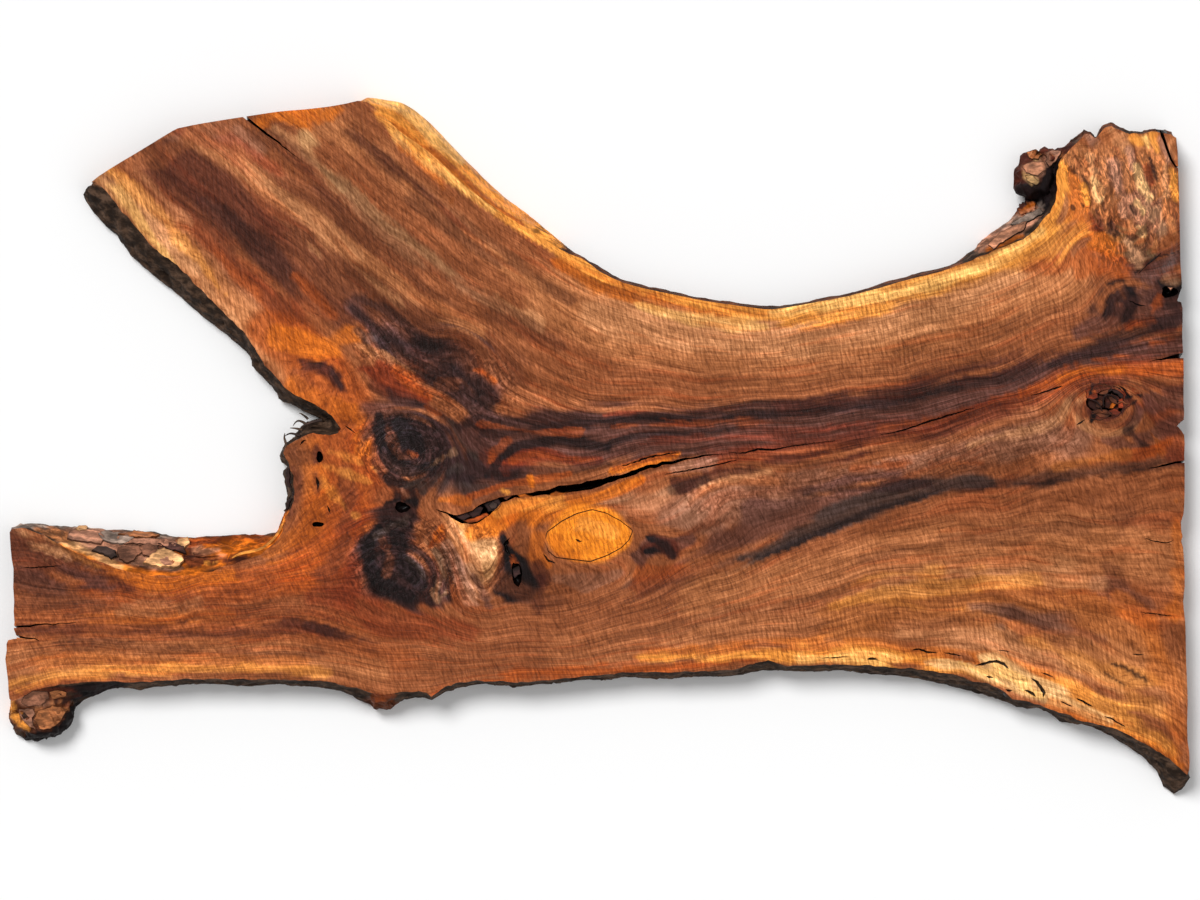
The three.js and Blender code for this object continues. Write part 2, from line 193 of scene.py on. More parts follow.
def points(text: str) -> np.ndarray:
    """Reads one drawn line, as points parted by commas."""
    return np.array([point.split() for point in text.split(",")], float)


class Waves:
    """A smooth unevenness in two or three dimensions, made of waves in all directions."""

    def __init__(self, seed: int, length: float, dims: int = 2, count: int = 28) -> None:
        """Draws the waves.

        Args:
            seed: Seed of the draw.
            length: Usual wavelength.
            dims: How many coordinates a point has.
            count: How many waves are summed.
        """
        draw = np.random.default_rng(seed)
        ways = draw.normal(size=(count, dims))
        ways /= np.linalg.norm(ways, axis=1, keepdims=True)
        self.ways = ways * (2 * math.pi / length * draw.uniform(0.6, 1.6, size=(count, 1)))
        self.phases = draw.uniform(0, 2 * math.pi, size=count)

    def at(self, *coords: np.ndarray) -> np.ndarray:
        """Gives the unevenness at points.

        Args:
            coords: One array for each coordinate.

        Returns:
            Values of about -1 to 1.
        """
        total = np.zeros_like(np.asarray(coords[0], float))
        for way, phase in zip(self.ways, self.phases):
            total += np.sin(sum(w * c for w, c in zip(way, coords)) + phase)
        return total / math.sqrt(len(self.ways)) * 0.8


def smooth(low: float, high: float, value: np.ndarray) -> np.ndarray:
    """Rises smoothly from 0 at low to 1 at high."""
    share = np.clip((value - low) / (high - low), 0, 1)
    return share * share * (3 - 2 * share)


def along_line(u: np.ndarray, v: np.ndarray, line: np.ndarray) -> tuple[np.ndarray, np.ndarray]:
    """Measures how far points are from a line whose radius changes along it.

    Args:
        u: Readings to the right.
        v: Readings downwards.
        line: Rows of u, v and radius.

    Returns:
        The distance as a share of the radius, and the plain distance.
    """
    share = np.full(u.shape, FAR)
    plain = np.full(u.shape, FAR)
    for (u0, v0, r0), (u1, v1, r1) in zip(line[:-1], line[1:]):
        du, dv = u1 - u0, v1 - v0
        t = np.clip(((u - u0) * du + (v - v0) * dv) / max(du * du + dv * dv, 1e-9), 0, 1)
        gap = np.hypot(u - u0 - t * du, v - v0 - t * dv)
        share = np.minimum(share, gap / (r0 + t * (r1 - r0)))
        plain = np.minimum(plain, gap)
    return share, plain


def from_line(u: np.ndarray, v: np.ndarray, line: np.ndarray) -> np.ndarray:
    """Measures how far points are from a line given as rows of u and v."""
    return along_line(u, v, np.column_stack([line, np.ones(len(line))]))[1]


GROWTH_LINES = """
0: 1058 150, 1056 190, 1042 222, 1000 245, 960 260, 900 280, 840 297, 780 308, 720 303, 660 290, 610 275,
  570 250, 500 200, 440 145, 405 108, 372 92;
40: 1185 190, 1120 238, 1060 276, 1000 300, 900 325, 800 342, 720 345, 640 330, 560 295, 480 240, 400 175,
  330 118, 300 92;
85: 1185 280, 1100 315, 1000 350, 900 375, 800 388, 700 392, 620 385, 540 355, 460 305, 380 240, 300 170,
  235 115, 215 98;
130: 1185 335, 1100 350, 1000 388, 900 405, 800 420, 700 428, 600 430, 520 420, 450 385, 390 330, 300 250,
  220 180, 165 130, 150 115;
168: 1185 372, 1130 372, 1080 380, 1000 403, 900 432, 800 447, 720 453, 660 463, 600 482, 560 490, 500 498,
  450 508, 400 480, 360 445, 338 428, 300 392, 250 340, 200 290, 150 245, 95 185;
172: 10 524, 100 562, 170 574, 230 563, 275 545, 296 500, 296 462, 335 436;
232: 1185 495, 1100 505, 1000 510, 920 520, 830 545, 740 578, 650 612, 560 635, 480 640, 400 624, 340 598,
  280 590, 200 598, 120 602, 10 602;
282: 1185 615, 1100 600, 1000 590, 920 590, 820 605, 720 625, 620 645, 520 655, 420 655, 320 645, 220 642,
  120 645, 10 650;
300: 1185 690, 1100 655, 1000 622, 900 615, 800 630;
315: 1185 735, 1120 703, 1060 676, 980 652, 900 643, 800 648, 700 652;
334: 1187 775, 1150 743, 1110 726, 1060 710, 1010 695, 960 675, 880 665, 770 660, 700 669, 560 675, 480 679,
  430 692, 385 692, 330 679, 230 676, 120 678, 60 681, 10 697;
"""
SWIRLS = """
410 448 44 38 44
396 556 50 46 40
428 574 34 30 18
478 556 30 40 -5
590 535 46 26 36
1107 401 38 28 46
655 545 24 18 10
1120 294 30 26 26
326 378 34 26 9
508 572 22 30 12
318 470 30 36 -9
470 350 40 26 16 0.6
1090 250 26 24 26
1130 215 22 30 -26
1100 190 20 24 24
1150 170 18 26 -22
1075 170 14 20 18
40 560 40 20 14
"""


@dataclass(frozen=True)
class Swirl:
    """A place where the grain closes round a knot or a burl."""

    u: float
    v: float
    along: float
    across: float
    height: float
    turn: float = 0.0


@dataclass
class Grain:
    """The run of the grain: a level that stays the same along each line of growth."""

    lines: str = GROWTH_LINES
    swirls: tuple[Swirl, ...] = tuple(Swirl(*map(float, row.split())) for row in SWIRLS.strip().splitlines())
    ease: float = 2e-4
    scale: float = 1000.0
    batch: int = 8000
    waver: float = 2.4
    fine_waver: float = 0.45

    def __post_init__(self) -> None:
        """Fits a thin plate through the drawn lines."""
        rows = []
        for (level,), line in drawn(self.lines):
            rows += [(u / self.scale, v / self.scale, float(level)) for u, v in line]
        data = np.array(rows)
        count = len(data)
        gap = self._bend(data[:, None, 0] - data[None, :, 0], data[:, None, 1] - data[None, :, 1])
        gap[np.diag_indices(count)] += self.ease
        flat = np.column_stack([np.ones(count), data[:, :2]])
        matrix = np.block([[gap, flat], [flat.T, np.zeros((3, 3))]])
        self._knots = data[:, :2]
        self._weights = np.linalg.solve(matrix, np.concatenate([data[:, 2], np.zeros(3)]))
        self._waver = Waves(11, 150)
        self._waver_fine = Waves(12, 45)

    @staticmethod
    def _bend(du: np.ndarray, dv: np.ndarray) -> np.ndarray:
        """Gives how a thin plate bends at a distance."""
        square = du * du + dv * dv
        return square * np.log(square + TINY)

    def level(self, u: np.ndarray, v: np.ndarray) -> np.ndarray:
        """Gives the grain's level at readings.

        Args:
            u: Readings to the right.
            v: Readings downwards.

        Returns:
            The level, in survey units across the grain.
        """
        level = np.empty_like(u)
        for start in range(0, len(u), self.batch):
            part = slice(start, start + self.batch)
            near_u, near_v = u[part] / self.scale, v[part] / self.scale
            across = near_u[:, None] - self._knots[None, :, 0]
            down = near_v[:, None] - self._knots[None, :, 1]
            bend = self._bend(across, down)
            tail = self._weights[-3] + self._weights[-2] * near_u + self._weights[-1] * near_v
            level[part] = bend @ self._weights[:-3] + tail
        for swirl in self.swirls:
            cos, sin = math.cos(swirl.turn), math.sin(swirl.turn)
            a = ((u - swirl.u) * cos + (v - swirl.v) * sin) / swirl.along
            b = ((v - swirl.v) * cos - (u - swirl.u) * sin) / swirl.across
            level += swirl.height * np.exp(-(a * a + b * b))
        return level + self.waver * self._waver.at(u, v) + self.fine_waver * self._waver_fine.at(u, v)


@dataclass(frozen=True)
class Stroke:
    """One stroke of colour: its line as u, v and radius, how strong it is and how ragged and streaky."""

    tint: Tint
    strength: float
    line: tuple
    streaky: float = 0.5
    ragged: float = 4.0
    core: float = 0.35

    @classmethod
    def read(cls, text: str) -> tuple["Stroke", ...]:
        """Reads strokes: colour, strength and, where they aren't the usual, streaky, ragged and core."""
        rows = ((head, line) for head, line in drawn(text))
        return tuple(cls(Tint[head[0]], float(head[1]), line, *map(float, head[2:])) for head, line in rows)


# Painted shadow: the darker brown left of the holes by the notch.
FACE_STROKES = Stroke.read("""
# Broad zones of the trunk, from the long hollow downwards.
TAN .75: 560 300 36, 640 335 40, 740 350 42, 860 345 42, 980 315 40, 1060 280 36;
FAWN .5: 600 315 20, 700 338 22, 800 335 22, 920 312 22, 1010 285 18;
BROWN .6: 480 330 26, 600 380 22, 760 388 20, 920 368 20, 1060 320 22;
TAN .55: 700 600 26, 820 575 30, 960 550 34, 1100 548 34, 1170 560 30;
TAN .4: 560 650 20, 700 640 22, 860 625 24, 1000 630 26, 1120 670 30;
HONEY .6 .8 8: 840 622 24, 960 600 26, 1080 610 34, 1150 660 36;
TAUPE .75 .8 6: 975 606 5, 1000 612 9, 1035 620 12, 1072 632 8;
WINE .6 .8 3: 1036 593 4, 1050 596 5, 1066 603 3;
WINE .5 .8 3: 1012 634 4, 1034 642 4;
PLUM .35 .7 6: 990 616 6, 1020 620 8, 1046 628 6;
TAUPE .7 .8 6: 1096 580 8, 1120 592 12, 1144 602 8;
UMBER .45 .8 7: 1090 500 6, 1130 510 9, 1120 530 8;
RUST .2 .9: 980 585 16, 1080 590 22, 1160 610 30;
FAWN .35 1 6: 880 590 10, 960 575 12, 1040 570 12, 1100 580 8;
FAWN .35 1 6: 900 632 10, 980 640 12, 1060 660 12, 1120 690 10;
ASH .6 .8 6: 600 500 8, 640 506 16, 680 508 18;
TAUPE .75 .7 6: 660 520 10, 700 510 22, 760 500 22, 820 484 18, 870 474 12;
FAWN .5 .9 4: 700 486 3, 740 478 6, 784 464 4;
TAUPE .75 .7 6: 880 468 10, 960 452 18, 1030 438 24, 1076 440 20;
UMBER .6 .8 6: 760 490 8, 830 482 12, 900 474 12, 980 470 10;
FAWN .45 .9 5: 970 446 6, 1020 432 8, 1060 420 6, 1078 400 4;
UMBER .5 1 5: 1020 452 4, 1050 446 5, 1090 450 5;
BROWN .6: 640 640 20, 520 640 26, 420 640 24, 320 620 26, 240 612 26;
# The narrow limb.
BROWN .7: 20 600 50, 120 610 44, 240 610 44, 340 600 40;
RUST .3 1 9 .1: 10 610 60, 140 620 56, 280 620 56, 400 640 40;
RUST .6: 90 590 14, 160 594 18, 260 585 24, 330 560 26, 360 520 26;
ORANGE .6 .6 5: 74 562 4, 110 576 8, 170 584 9, 230 576 8;
FAWN .6 .5 5: 22 532 8, 44 538 8, 60 544 5;
GOLD .5 .5 3: 50 536 5, 72 552 5, 96 566 3;
ORANGE .3 .9 6: 90 622 10, 160 618 12, 220 616 10;
FAWN .3 .9 6: 120 610 5, 160 606 7, 200 606 5;
UMBER .35 .8 6: 20 590 20, 90 600 16, 200 606 14, 330 606 20, 400 630 14;
TAN .5: 12 664 22, 100 656 20, 200 654 18, 300 658 16, 380 672 12;
ORANGE .3 .9: 40 664 12, 160 660 10, 300 664 9;
GOLD .45 .9: 14 684 9, 60 674 7, 100 670 6, 220 670 4, 330 672 4;
WINE .8: 14 545 22, 50 556 22, 92 575 14, 130 590 6;
FAWN .6 .8 5: 24 534 5, 36 543 8, 52 550 8, 66 556 5;
DUSK .7 .8 5: 16 572 10, 34 580 14, 60 590 12;
DUSK .6 .8 5: 64 566 6, 84 578 9, 110 592 8;
UMBER .7: 12 600 18, 50 600 14, 100 605 8;
WINE .7 .9: 20 626 6, 90 628 8, 180 632 8, 260 634 6, 330 628 5;
UMBER .6 .9: 60 645 5, 160 650 5, 260 652 4, 320 652 4;
WINE .7 1 6 .2: 290 618 5, 316 624 9, 346 634 10, 376 644 5;
PLUM .5 1 5: 310 624 4, 336 630 6, 366 640 5;
# The broad limb.
TAUPE .6 .8 5: 170 140 8, 200 138 14, 236 134 14, 262 150 10;
UMBER .75: 150 160 22, 230 180 40, 320 240 46, 420 320 40, 500 370 30;
WINE .7: 168 150 14, 215 190 22, 262 240 24, 310 285 20, 345 320 14;
PLUM .55 .9 7: 204 204 8, 238 228 14, 272 254 16, 298 280 10;
RED .55: 150 190 12, 200 240 18, 250 290 18, 300 330 16;
TAN .65 .8: 190 135 9, 235 160 12, 290 205 13, 350 255 13, 420 300 11, 480 330 8;
WINE .55 .95 7: 150 170 6, 182 196 10, 214 228 12, 236 258 8;
RUST .5 .9 5: 178 222 5, 208 246 9, 236 280 9, 262 318 7;
BAST .4 .95 5: 206 250 5, 232 282 6, 256 312 5;
WINE .5 .95 7: 312 170 6, 344 200 9, 390 236 9, 436 270 6;
FAWN .45 .95 6 .2: 226 150 5, 262 184 9, 306 222 9, 352 262 8, 400 300 6;
FAWN .4 .95 5 .2: 132 168 4, 160 196 6, 190 226 6;
FAWN .7 .8: 276 128 6, 300 142 9, 330 176 10, 366 214 11, 420 256 11, 470 290 10, 540 325 8;
CREAM .4 .95 4 .2: 326 168 4, 362 200 6, 402 236 6, 450 272 5;
CREAM .5 .9 4: 280 128 4, 298 138 6, 316 158 6, 340 188 5;
UMBER .7 .7: 255 130 12, 310 165 14, 370 215 15, 430 262 14, 500 312 12, 560 345 9;
TAN .7 .6: 330 125 16, 380 160 16, 430 205 15, 480 245 14, 540 285 12;
WINE .5 .9: 360 135 6, 410 180 8, 460 222 8, 520 265 7, 570 300 5;
WINE .6 .9 7: 352 132 7, 382 164 11, 416 198 13, 454 232 11, 498 264 7;
ORANGE .45 .9 4: 396 132 4, 422 164 6, 454 200 5;
RED .5 .9 6: 176 130 7, 226 144 11, 276 166 10;
ORANGE .75 .6: 262 118 8, 295 114 12, 335 112 8;
TAN .85 .5: 98 182 14, 140 205 22, 180 245 24, 220 290 22, 255 330 18, 285 372 12;
FAWN .85 .5: 98 178 10, 130 195 15, 165 232 15, 196 268 11;
FAWN .45 .95 6 .2: 190 262 7, 222 304 7, 250 340 5, 270 362 3;
SAP .6 .8 4: 98 178 5, 118 192 8, 140 222 7, 164 254 4, 186 282 2;
GOLD .55 .9: 112 172 7, 135 188 9, 160 215 9, 192 252 6, 226 296 3;
BROWN .5: 120 165 8, 150 158 10, 190 140 10, 230 124 6;
# Round the fork.
RUST .5 .8 6: 296 276 8, 318 294 12, 330 312 8;
RUST .75: 262 330 20, 300 350 34, 340 400 36, 350 460 40, 335 520 36, 300 570 26;
RED .5: 352 500 12, 350 540 16, 336 580 20, 380 620 16, 470 632 12;
ORANGE .6 .7: 280 340 12, 320 350 14, 352 335 10;
ORANGE .45 .8: 292 385 9, 330 405 12, 360 420 12, 366 450 12;
ORANGE .35 .9: 310 450 13, 318 490 15, 310 530 12, 270 556 9;
UMBER .5 .9: 344 470 7, 350 500 9, 344 540 10, 322 576 9;
GOLD .3 1 3 .1: 330 452 3, 352 458 4, 376 470 3;
GOLD .3 1 3 .1: 326 466 3, 348 474 4, 372 482 3;
GOLD .3 1 3 .1: 322 480 3, 336 498 4, 356 516 3;
UMBER .7 .5 3: 286 450 6, 300 456 9, 312 458 6;
WINE .85 .3 1.5: 317 450 4, 318 458 5, 316 462 3;
WINE .7 .5 3: 293 468 4, 298 478 5, 294 496 6, 288 512 5;
WINE .7 .3 2: 316 474 3, 318 484 4, 318 492 2;
WINE .9 .5 5: 298 360 3, 312 363 6, 324 370 5;
WINE 1 .4 4 .5: 324 365 5, 334 374 6, 343 389 4;
PLUM .8 .4 3: 334 372 2.5, 340 382 3, 344 390 2;
SOOT .6 .7 3: 312 364 3, 322 362 3;
WINE .5 .8 4: 296 372 5, 308 384 6;
RED .6 .6: 360 560 10, 345 600 12, 310 600 10;
# Dark heartwood: the plume.
UMBER .7 .6 6: 346 292 8, 366 312 16, 398 326 18, 432 346 18, 462 362 16;
PLUM .7 .6 4: 356 296 3, 376 306 5, 398 320 5, 424 336 4;
DUSK .8 .9 9 .3: 350 306 8, 378 328 16, 402 346 22, 432 358 28, 456 374 30, 482 396 24;
PLUM .9 .9 8 .3: 352 308 4, 378 328 10, 402 346 16, 430 358 22, 452 372 24, 474 388 22, 492 404 14;
SOOT .5 1 6: 386 338 7, 412 346 10, 440 358 9, 462 374 8, 480 394 7;
SLATE .6 .4 3: 358 330 5, 370 338 6;
RUST .7 .6 4: 474 370 4, 484 372 6, 494 380 5;
UMBER .6 .8 4: 442 384 5, 462 380 5, 474 392 4;
TAN .5 .6 3: 354 346 3, 372 352 4, 392 362 4, 412 374 3;
# The red wood between the plume and the eye.
RED .9 .4 5: 362 368 7, 382 376 14, 404 388 16, 424 398 10;
RUST .6 .6 4: 396 370 5, 412 384 8, 430 396 6;
WINE .8 .5 5: 366 374 4, 374 386 7, 392 394 8, 410 402 8;
PLUM .7 .5 4: 388 390 4, 400 402 6, 414 406 6;
# The eye, and the dark wedge between it and the crack.
DUSK .8 .8 10 .4: 384 424 28, 404 440 42, 432 450 46, 468 458 42, 504 468 26;
PLUM 1 .5 7 .6: 396 432 22, 418 438 28, 446 450 34, 476 460 30, 502 468 16;
UMBER .3 .9 4: 440 412 5, 456 428 7, 466 448 7;
SOOT .9 .1 2 .6: 379 416 6, 378 432 7, 384 450 8, 394 464 9, 412 472 9, 432 466 5;
SOOT .95 .2 3 .6: 400 424 9, 410 436 13, 416 448 10;
UMBER .4 .7 3: 388 428 3, 392 444 4, 400 456 3, 412 456 3;
RUST .25 .5 2: 408 452 2.5, 416 456 2.5;
RUST .4 .3 3: 430 411 4, 436 415 4;
ASH .3 .5 2: 430 466 2.5, 442 458 3.5, 454 452 3;
UMBER .4 .9 3: 446 420 3, 462 446 4, 472 474 4;
WINE .7 .9 4: 462 420 4, 482 452 6, 492 478 5;
SLATE .7 .9 4: 452 424 4, 468 446 5, 480 470 4;
SLATE .6 .9 4: 474 414 4, 490 436 5, 504 456 4;
RED .6 .9 3: 484 444 3, 496 460 4, 506 474 3;
SLATE .8 .9 3: 440 476 3, 456 468 4, 478 470 3;
SOOT .5 .8 4: 446 472 6, 470 478 8, 492 476 6;
SLATE .5 .8 4: 436 484 7, 460 492 8, 486 486 6;
# The neck and the lower swirl.
PLUM .95 .2 3 .7: 392 478 8, 404 488 10, 404 504 14, 396 520 16;
SOOT .95 .1 2 .7: 388 504 5, 402 504 8, 414 502 4;
UMBER .6 .4 3: 392 488 3, 406 494 4, 402 500 2;
SLATE .6 .4 2: 406 486 3, 416 484 4;
BAST .5 .3 1: 402 490 2, 408 497 2;
SLATE .8 .5 2: 411 484 4, 420 482 6, 424 492 4;
DUSK .9 .7 8 .5: 394 528 24, 392 560 36, 420 580 28, 436 594 16;
PLUM 1 .3 5 .7: 394 524 19, 384 548 24, 390 572 24, 410 586 20, 430 594 13;
PLUM .8 .9 6 .3: 416 550 12, 430 566 13, 430 582 11;
PLUM .85 .9 7 .3: 436 552 8, 450 572 14, 450 592 12;
SOOT .6 1 5: 444 562 5, 456 580 7, 452 598 6;
ASH .5 1 4 .1: 424 540 5, 438 554 6, 444 572 6, 438 588 4;
SOOT .9 .2 2 .5: 378 528 6, 368 548 6, 370 568 8, 384 586 8, 410 597 6;
SOOT .75 .7 4 .4: 396 534 6, 404 552 8, 412 572 9, 426 586 7;
UMBER .5 .8 3: 382 540 3, 390 556 4, 386 574 3;
SLATE .8 .8 3: 376 536 3, 388 526 4, 404 522 4;
SLATE .8 .8 3: 408 558 3, 420 566 4, 426 576 3;
DUSK .8 .9 3: 430 560 3, 440 576 4, 446 592 4;
ASH .6 .7 3: 432 590 3, 438 600 4, 446 592 3;
RUST .8 .4 3: 445 524 4, 437 536 6, 430 546 4;
ORANGE .4 .5 2: 440 530 3, 434 542 2;
# The pale wood beside the swirl.
TAN .85 .6 4: 448 518 8, 466 534 16, 482 552 18, 482 574 17, 468 594 12;
FAWN .5 .9 4: 452 520 5, 466 536 9, 482 556 11, 484 578 8;
GOLD .4 .5 3: 455 520 3, 463 528 5, 472 538 5;
CREAM .35 .8 4: 462 532 5, 480 542 10, 492 556 9, 488 574 6;
BAST .6 .9 5: 446 548 6, 456 572 11, 468 600 12;
TAUPE .6 .9 4: 454 562 5, 468 580 8, 486 598 8;
ASH .5 .9 3: 470 566 4, 480 580 5;
UMBER .6 .8 3: 450 552 3, 456 574 4, 464 600 4;
DUSK .6 .8 3: 474 576 3, 482 592 4, 490 608 4;
# The dark band through the trunk.
DUSK .92 .3 4 .5: 480 430 20, 560 438 28, 640 436 30, 740 430 26, 840 420 24, 940 402 22, 1040 376 18,
  1120 352 16, 1185 342 14;
PLUM .7 .8 4 .4: 462 424 6, 500 422 8, 560 420 9, 600 418 9, 660 420 10, 740 412 12, 800 410 12,
  900 394 12, 1000 378 11, 1100 348 9, 1185 332 9;
RED .6 .6 2: 604 415 2.5, 622 411 3.5, 648 410 3;
SOOT .6 .8: 480 436 4, 520 430 4, 560 426 3, 620 420 3, 680 418 4, 780 414 5, 880 402 5, 960 388 4;
SOOT .85 .5 2: 486 476 4, 498 462 5, 512 450 6, 532 443 7, 560 441 7, 590 445 7, 608 448 5;
SOOT .75 .6 2: 608 446 4, 622 438 5, 640 433 5, 680 432 4, 740 428 3;
RUST .45 .8 3: 490 462 3, 495 450 5, 508 441 4;
RED .75 .6 3: 506 464 4, 525 457 7, 550 456 8, 570 460 6, 600 462 4;
RUST .4 .9 3: 512 460 3, 536 454 3, 560 459 3, 575 458 3, 592 462 2.5;
RUST .4 1 3: 480 424 2.5, 500 426 3, 540 433 3, 580 433 3;
RUST .35 1 3: 614 427 3, 650 426 3, 700 424 3, 740 422 2.5, 800 420 2.5;
RED .4 .9 3: 640 444 3, 690 442 4, 740 437 4, 800 432 4, 860 424 4;
PLUM .7 .7 3: 470 470 8, 520 474 7, 570 470 6, 610 464 5;
RUST .7 .8 2: 470 497 3, 500 486 4, 530 482 4, 570 474 3;
ORANGE .5 .5 2: 440 500 3, 456 500 6, 468 502 4;
ORANGE .9 .2 1.5: 530 478 3, 532 486 4;
GOLD .8 .2 1.5: 502 490 2.5, 508 492 3;
ORANGE .85 .5 2 .5: 612 470 3, 636 466 4.5, 652 462 5, 676 456 4;
RED .6 .9 3: 612 467 2, 630 463 2.5, 648 461 3, 672 455 2;
RED .55 .8: 700 464 8, 780 452 12, 860 440 13, 940 424 13, 1010 402 12, 1080 380 12, 1140 368 11,
  1185 366 10;
RUST .6 .8: 880 428 3, 960 412 5, 1030 392 6, 1090 372 7, 1185 366 6;
WINE .55 .95 6: 790 444 6, 850 438 14, 910 428 16, 970 414 14, 1030 398 9;
WINE .55 .9 6: 780 408 6, 860 396 9, 940 380 9, 1010 362 8, 1060 352 6;
BAST .55 .6 3: 676 470 6, 694 465 8, 712 463 6;
WINE .85 .5: 674 480 4, 684 484 6, 698 482 5, 716 475 5, 744 468 5, 800 460 5, 880 446 5;
SOOT .6 .5 2: 672 490 4, 690 486 5, 706 480 3;
# The second dark streak.
DUSK .75 1 9 .1: 676 566 5, 730 542 14, 790 514 20, 845 494 20, 900 480 12;
SLATE .45 .9 4: 640 592 3, 700 574 5, 757 553 7;
SLATE .9 .7 4 .4: 740 560 5, 781 545 9, 827 524 12, 872 503 13, 918 490 12, 953 484 10, 990 481 7;
SLATE .5 1 5 .1: 970 484 8, 1030 479 8, 1100 470 8, 1185 455 9;
SOOT .7 .7 1.5: 980 488 1, 1040 483 1.3, 1110 476 1.3, 1185 462 1;
SOOT .75 .4 1: 757 556 2, 781 551 3, 827 530 4.5, 872 510 4.5, 918 498 3.5, 953 491 3, 985 489 2;
PLUM .8 .6 2: 806 494 3, 836 490 4, 872 486 5, 904 484 6, 930 484 4;
RUST .45 .9 3: 850 468 3, 900 465 4, 980 462 3;
UMBER .8 .5 1.5: 673 541 2, 690 533 2.5, 712 524 2, 736 518 2;
PLUM .4 1: 940 488 5, 1020 482 6, 1100 472 5, 1185 462 4;
UMBER .5 .9: 860 560 6, 960 540 8, 1060 528 8, 1170 520 7;
UMBER .4 1: 620 640 5, 740 610 6, 860 592 6, 980 575 6;
# Orange wood about the crack and the round knot.
ORANGE .85 .4: 470 534 8, 500 520 14, 530 512 16, 556 512 14, 590 500 8, 640 480 5;
GOLD .5 .5: 500 512 7, 530 505 9, 560 502 7;
ORANGE .6 .6 3: 540 538 10, 536 554 8, 548 564 5;
TAUPE .6 .9 5: 556 580 6, 590 582 9, 622 574 8;
BROWN .6 .8: 632 512 8, 650 524 14, 664 545 18, 650 572 14;
RUST .5 .9: 640 572 8, 664 574 10, 690 566 8;
RED .4 .8: 640 590 8, 672 576 12, 710 562 8;
UMBER .5 .9 5: 630 600 6, 664 588 9, 704 572 7;
KNOT_ORANGE 1 .08 .6 .85: 566 537 17, 582 533 26, 598 534 26, 616 536 15;
ORANGE .7 .3 2: 556 540 9, 560 552 8, 578 556 6;
GOLD .55 .4 3: 584 524 9, 598 530 10, 612 532 8;
WINE .9 .4 4: 503 534 4, 508 554 9, 513 572 17, 516 586 21;
SOOT 1 .3 3 .6: 504 538 4, 509 552 7, 516 566 11, 518 580 15, 526 588 14;
SOOT 1 .6 4 .3: 498 590 7, 514 595 12, 531 592 11, 541 580 7;
WINE .8 .9 5: 538 566 5, 546 582 8, 538 600 7;
RUST .5 .4 2: 512 556 2, 516 568 2.5, 518 578 2;
UMBER .6 .5: 496 580 10, 530 596 12, 560 600 8;
DUSK .8 .6 5: 636 556 9, 652 546 13, 672 546 9, 692 540 5;
WINE 1 .5 4: 644 550 6, 656 545 9, 672 545 6;
SOOT 1 .6 3 .4: 646 552 4, 656 549 6, 668 551 4;
WINE .95 .4 5: 650 534 6, 660 542 10, 672 553 9;
SOOT .85 .6 4: 652 538 4, 664 546 7, 673 556 5;
SOOT 1 .6 3: 646 536 2.5, 652 541 4;
# Right end: blotches, the star knot and its ring.
WINE .85 .4 6: 1142 256 8, 1160 274 20, 1168 310 22, 1170 330 18;
BAST .25 .6 4: 1140 272 6, 1150 284 9, 1146 296 6;
DUSK .8 .9 6: 1078 332 8, 1106 318 16, 1140 308 20, 1172 312 22;
PLUM .75 .85 5: 1050 366 4, 1085 350 7, 1110 341 9, 1135 333 10, 1155 324 9, 1184 314 9;
DUSK .9 .6 4: 1158 264 8, 1180 256 12;
PLUM .95 .3 4 .6: 1106 312 5, 1112 296 9, 1122 293 11, 1131 304 9, 1126 320 6;
SOOT .9 .1 1.5: 1110 284 2.5, 1120 280 3.5, 1128 287 4, 1132 294 3;
UMBER .5 .5 2: 1114 288 2, 1120 288 3, 1124 298 3;
DUSK .8 .6 5: 1126 262 8, 1146 270 14, 1156 292 14;
PLUM .7 .7 4: 1094 312 6, 1110 306 8, 1130 320 8;
SOOT 1 .4 3: 1160 282 5, 1168 289 8, 1180 286 10;
ASH .5 .3 2: 1164 279 3, 1176 281 4;
PLUM .7 .8 4: 1156 300 6, 1174 304 9, 1180 316 7;
SOOT .9 .1 .5 .6: 1132 275 .9, 1145 266 1.1, 1157 257 1.1, 1180 251 .9;
RUST .5 .8 4: 1128 326 5, 1150 320 5, 1160 296 3;
PLUM .6 .8 5: 1150 318 8, 1172 330 10;
RUST .6 .8 3: 1150 343 3, 1166 340 4, 1182 336 4;
RUST .5 .8: 1020 392 5, 1070 374 8, 1120 368 9, 1185 372 8;
ORANGE .4 .7: 1060 378 3, 1090 370 4, 1120 370 4;
UMBER .6 .5: 1070 400 8, 1090 425 10, 1125 425 10, 1145 400 8, 1125 380 6;
FAWN .5 .5: 1066 402 4, 1078 424 5, 1104 434 5, 1136 426 4;
WINE .95 .2 2 .7: 1092 392 6, 1104 390 11, 1118 396 10, 1126 402 6;
WINE .95 .2 2 .7: 1096 410 8, 1108 412 9, 1120 410 6;
RUST .7 .2 2: 1086 394 3, 1092 390 4;
RED .9 .2 2: 1122 392 4, 1132 393 5, 1138 396 3;
RED .6 .9: 1140 404 8, 1165 420 16, 1175 450 14;
DUSK .75 .9 4: 1128 424 8, 1150 405 12, 1184 392 12;
DUSK .7 .9 4: 1140 438 9, 1162 430 12, 1184 424 12;
PLUM .8 .95 6 .2: 1124 428 4, 1134 435 6, 1150 449 5;
ORANGE .3 .9 2: 1150 432 2, 1158 442 3, 1162 452 3;
WINE .6 .8 4: 1146 384 5, 1184 386 9;
DUSK .6 .95 6 .2: 1104 440 5, 1122 444 7, 1140 452 5;
RUST .75 .6 3: 1090 462 4, 1120 456 6, 1150 452 5, 1170 440 4;
HONEY .7 .8 4: 1056 468 4, 1090 461 6, 1126 453 5;
ORANGE .4 .95 5 .1: 1176 500 5, 1178 560 9, 1176 620 8;
SOOT 1 .1 .5: 1090 394 2, 1093 384 1.6;
SOOT 1 .2 1: 1124 398 3, 1134 395 2.4, 1141 396 1.4;
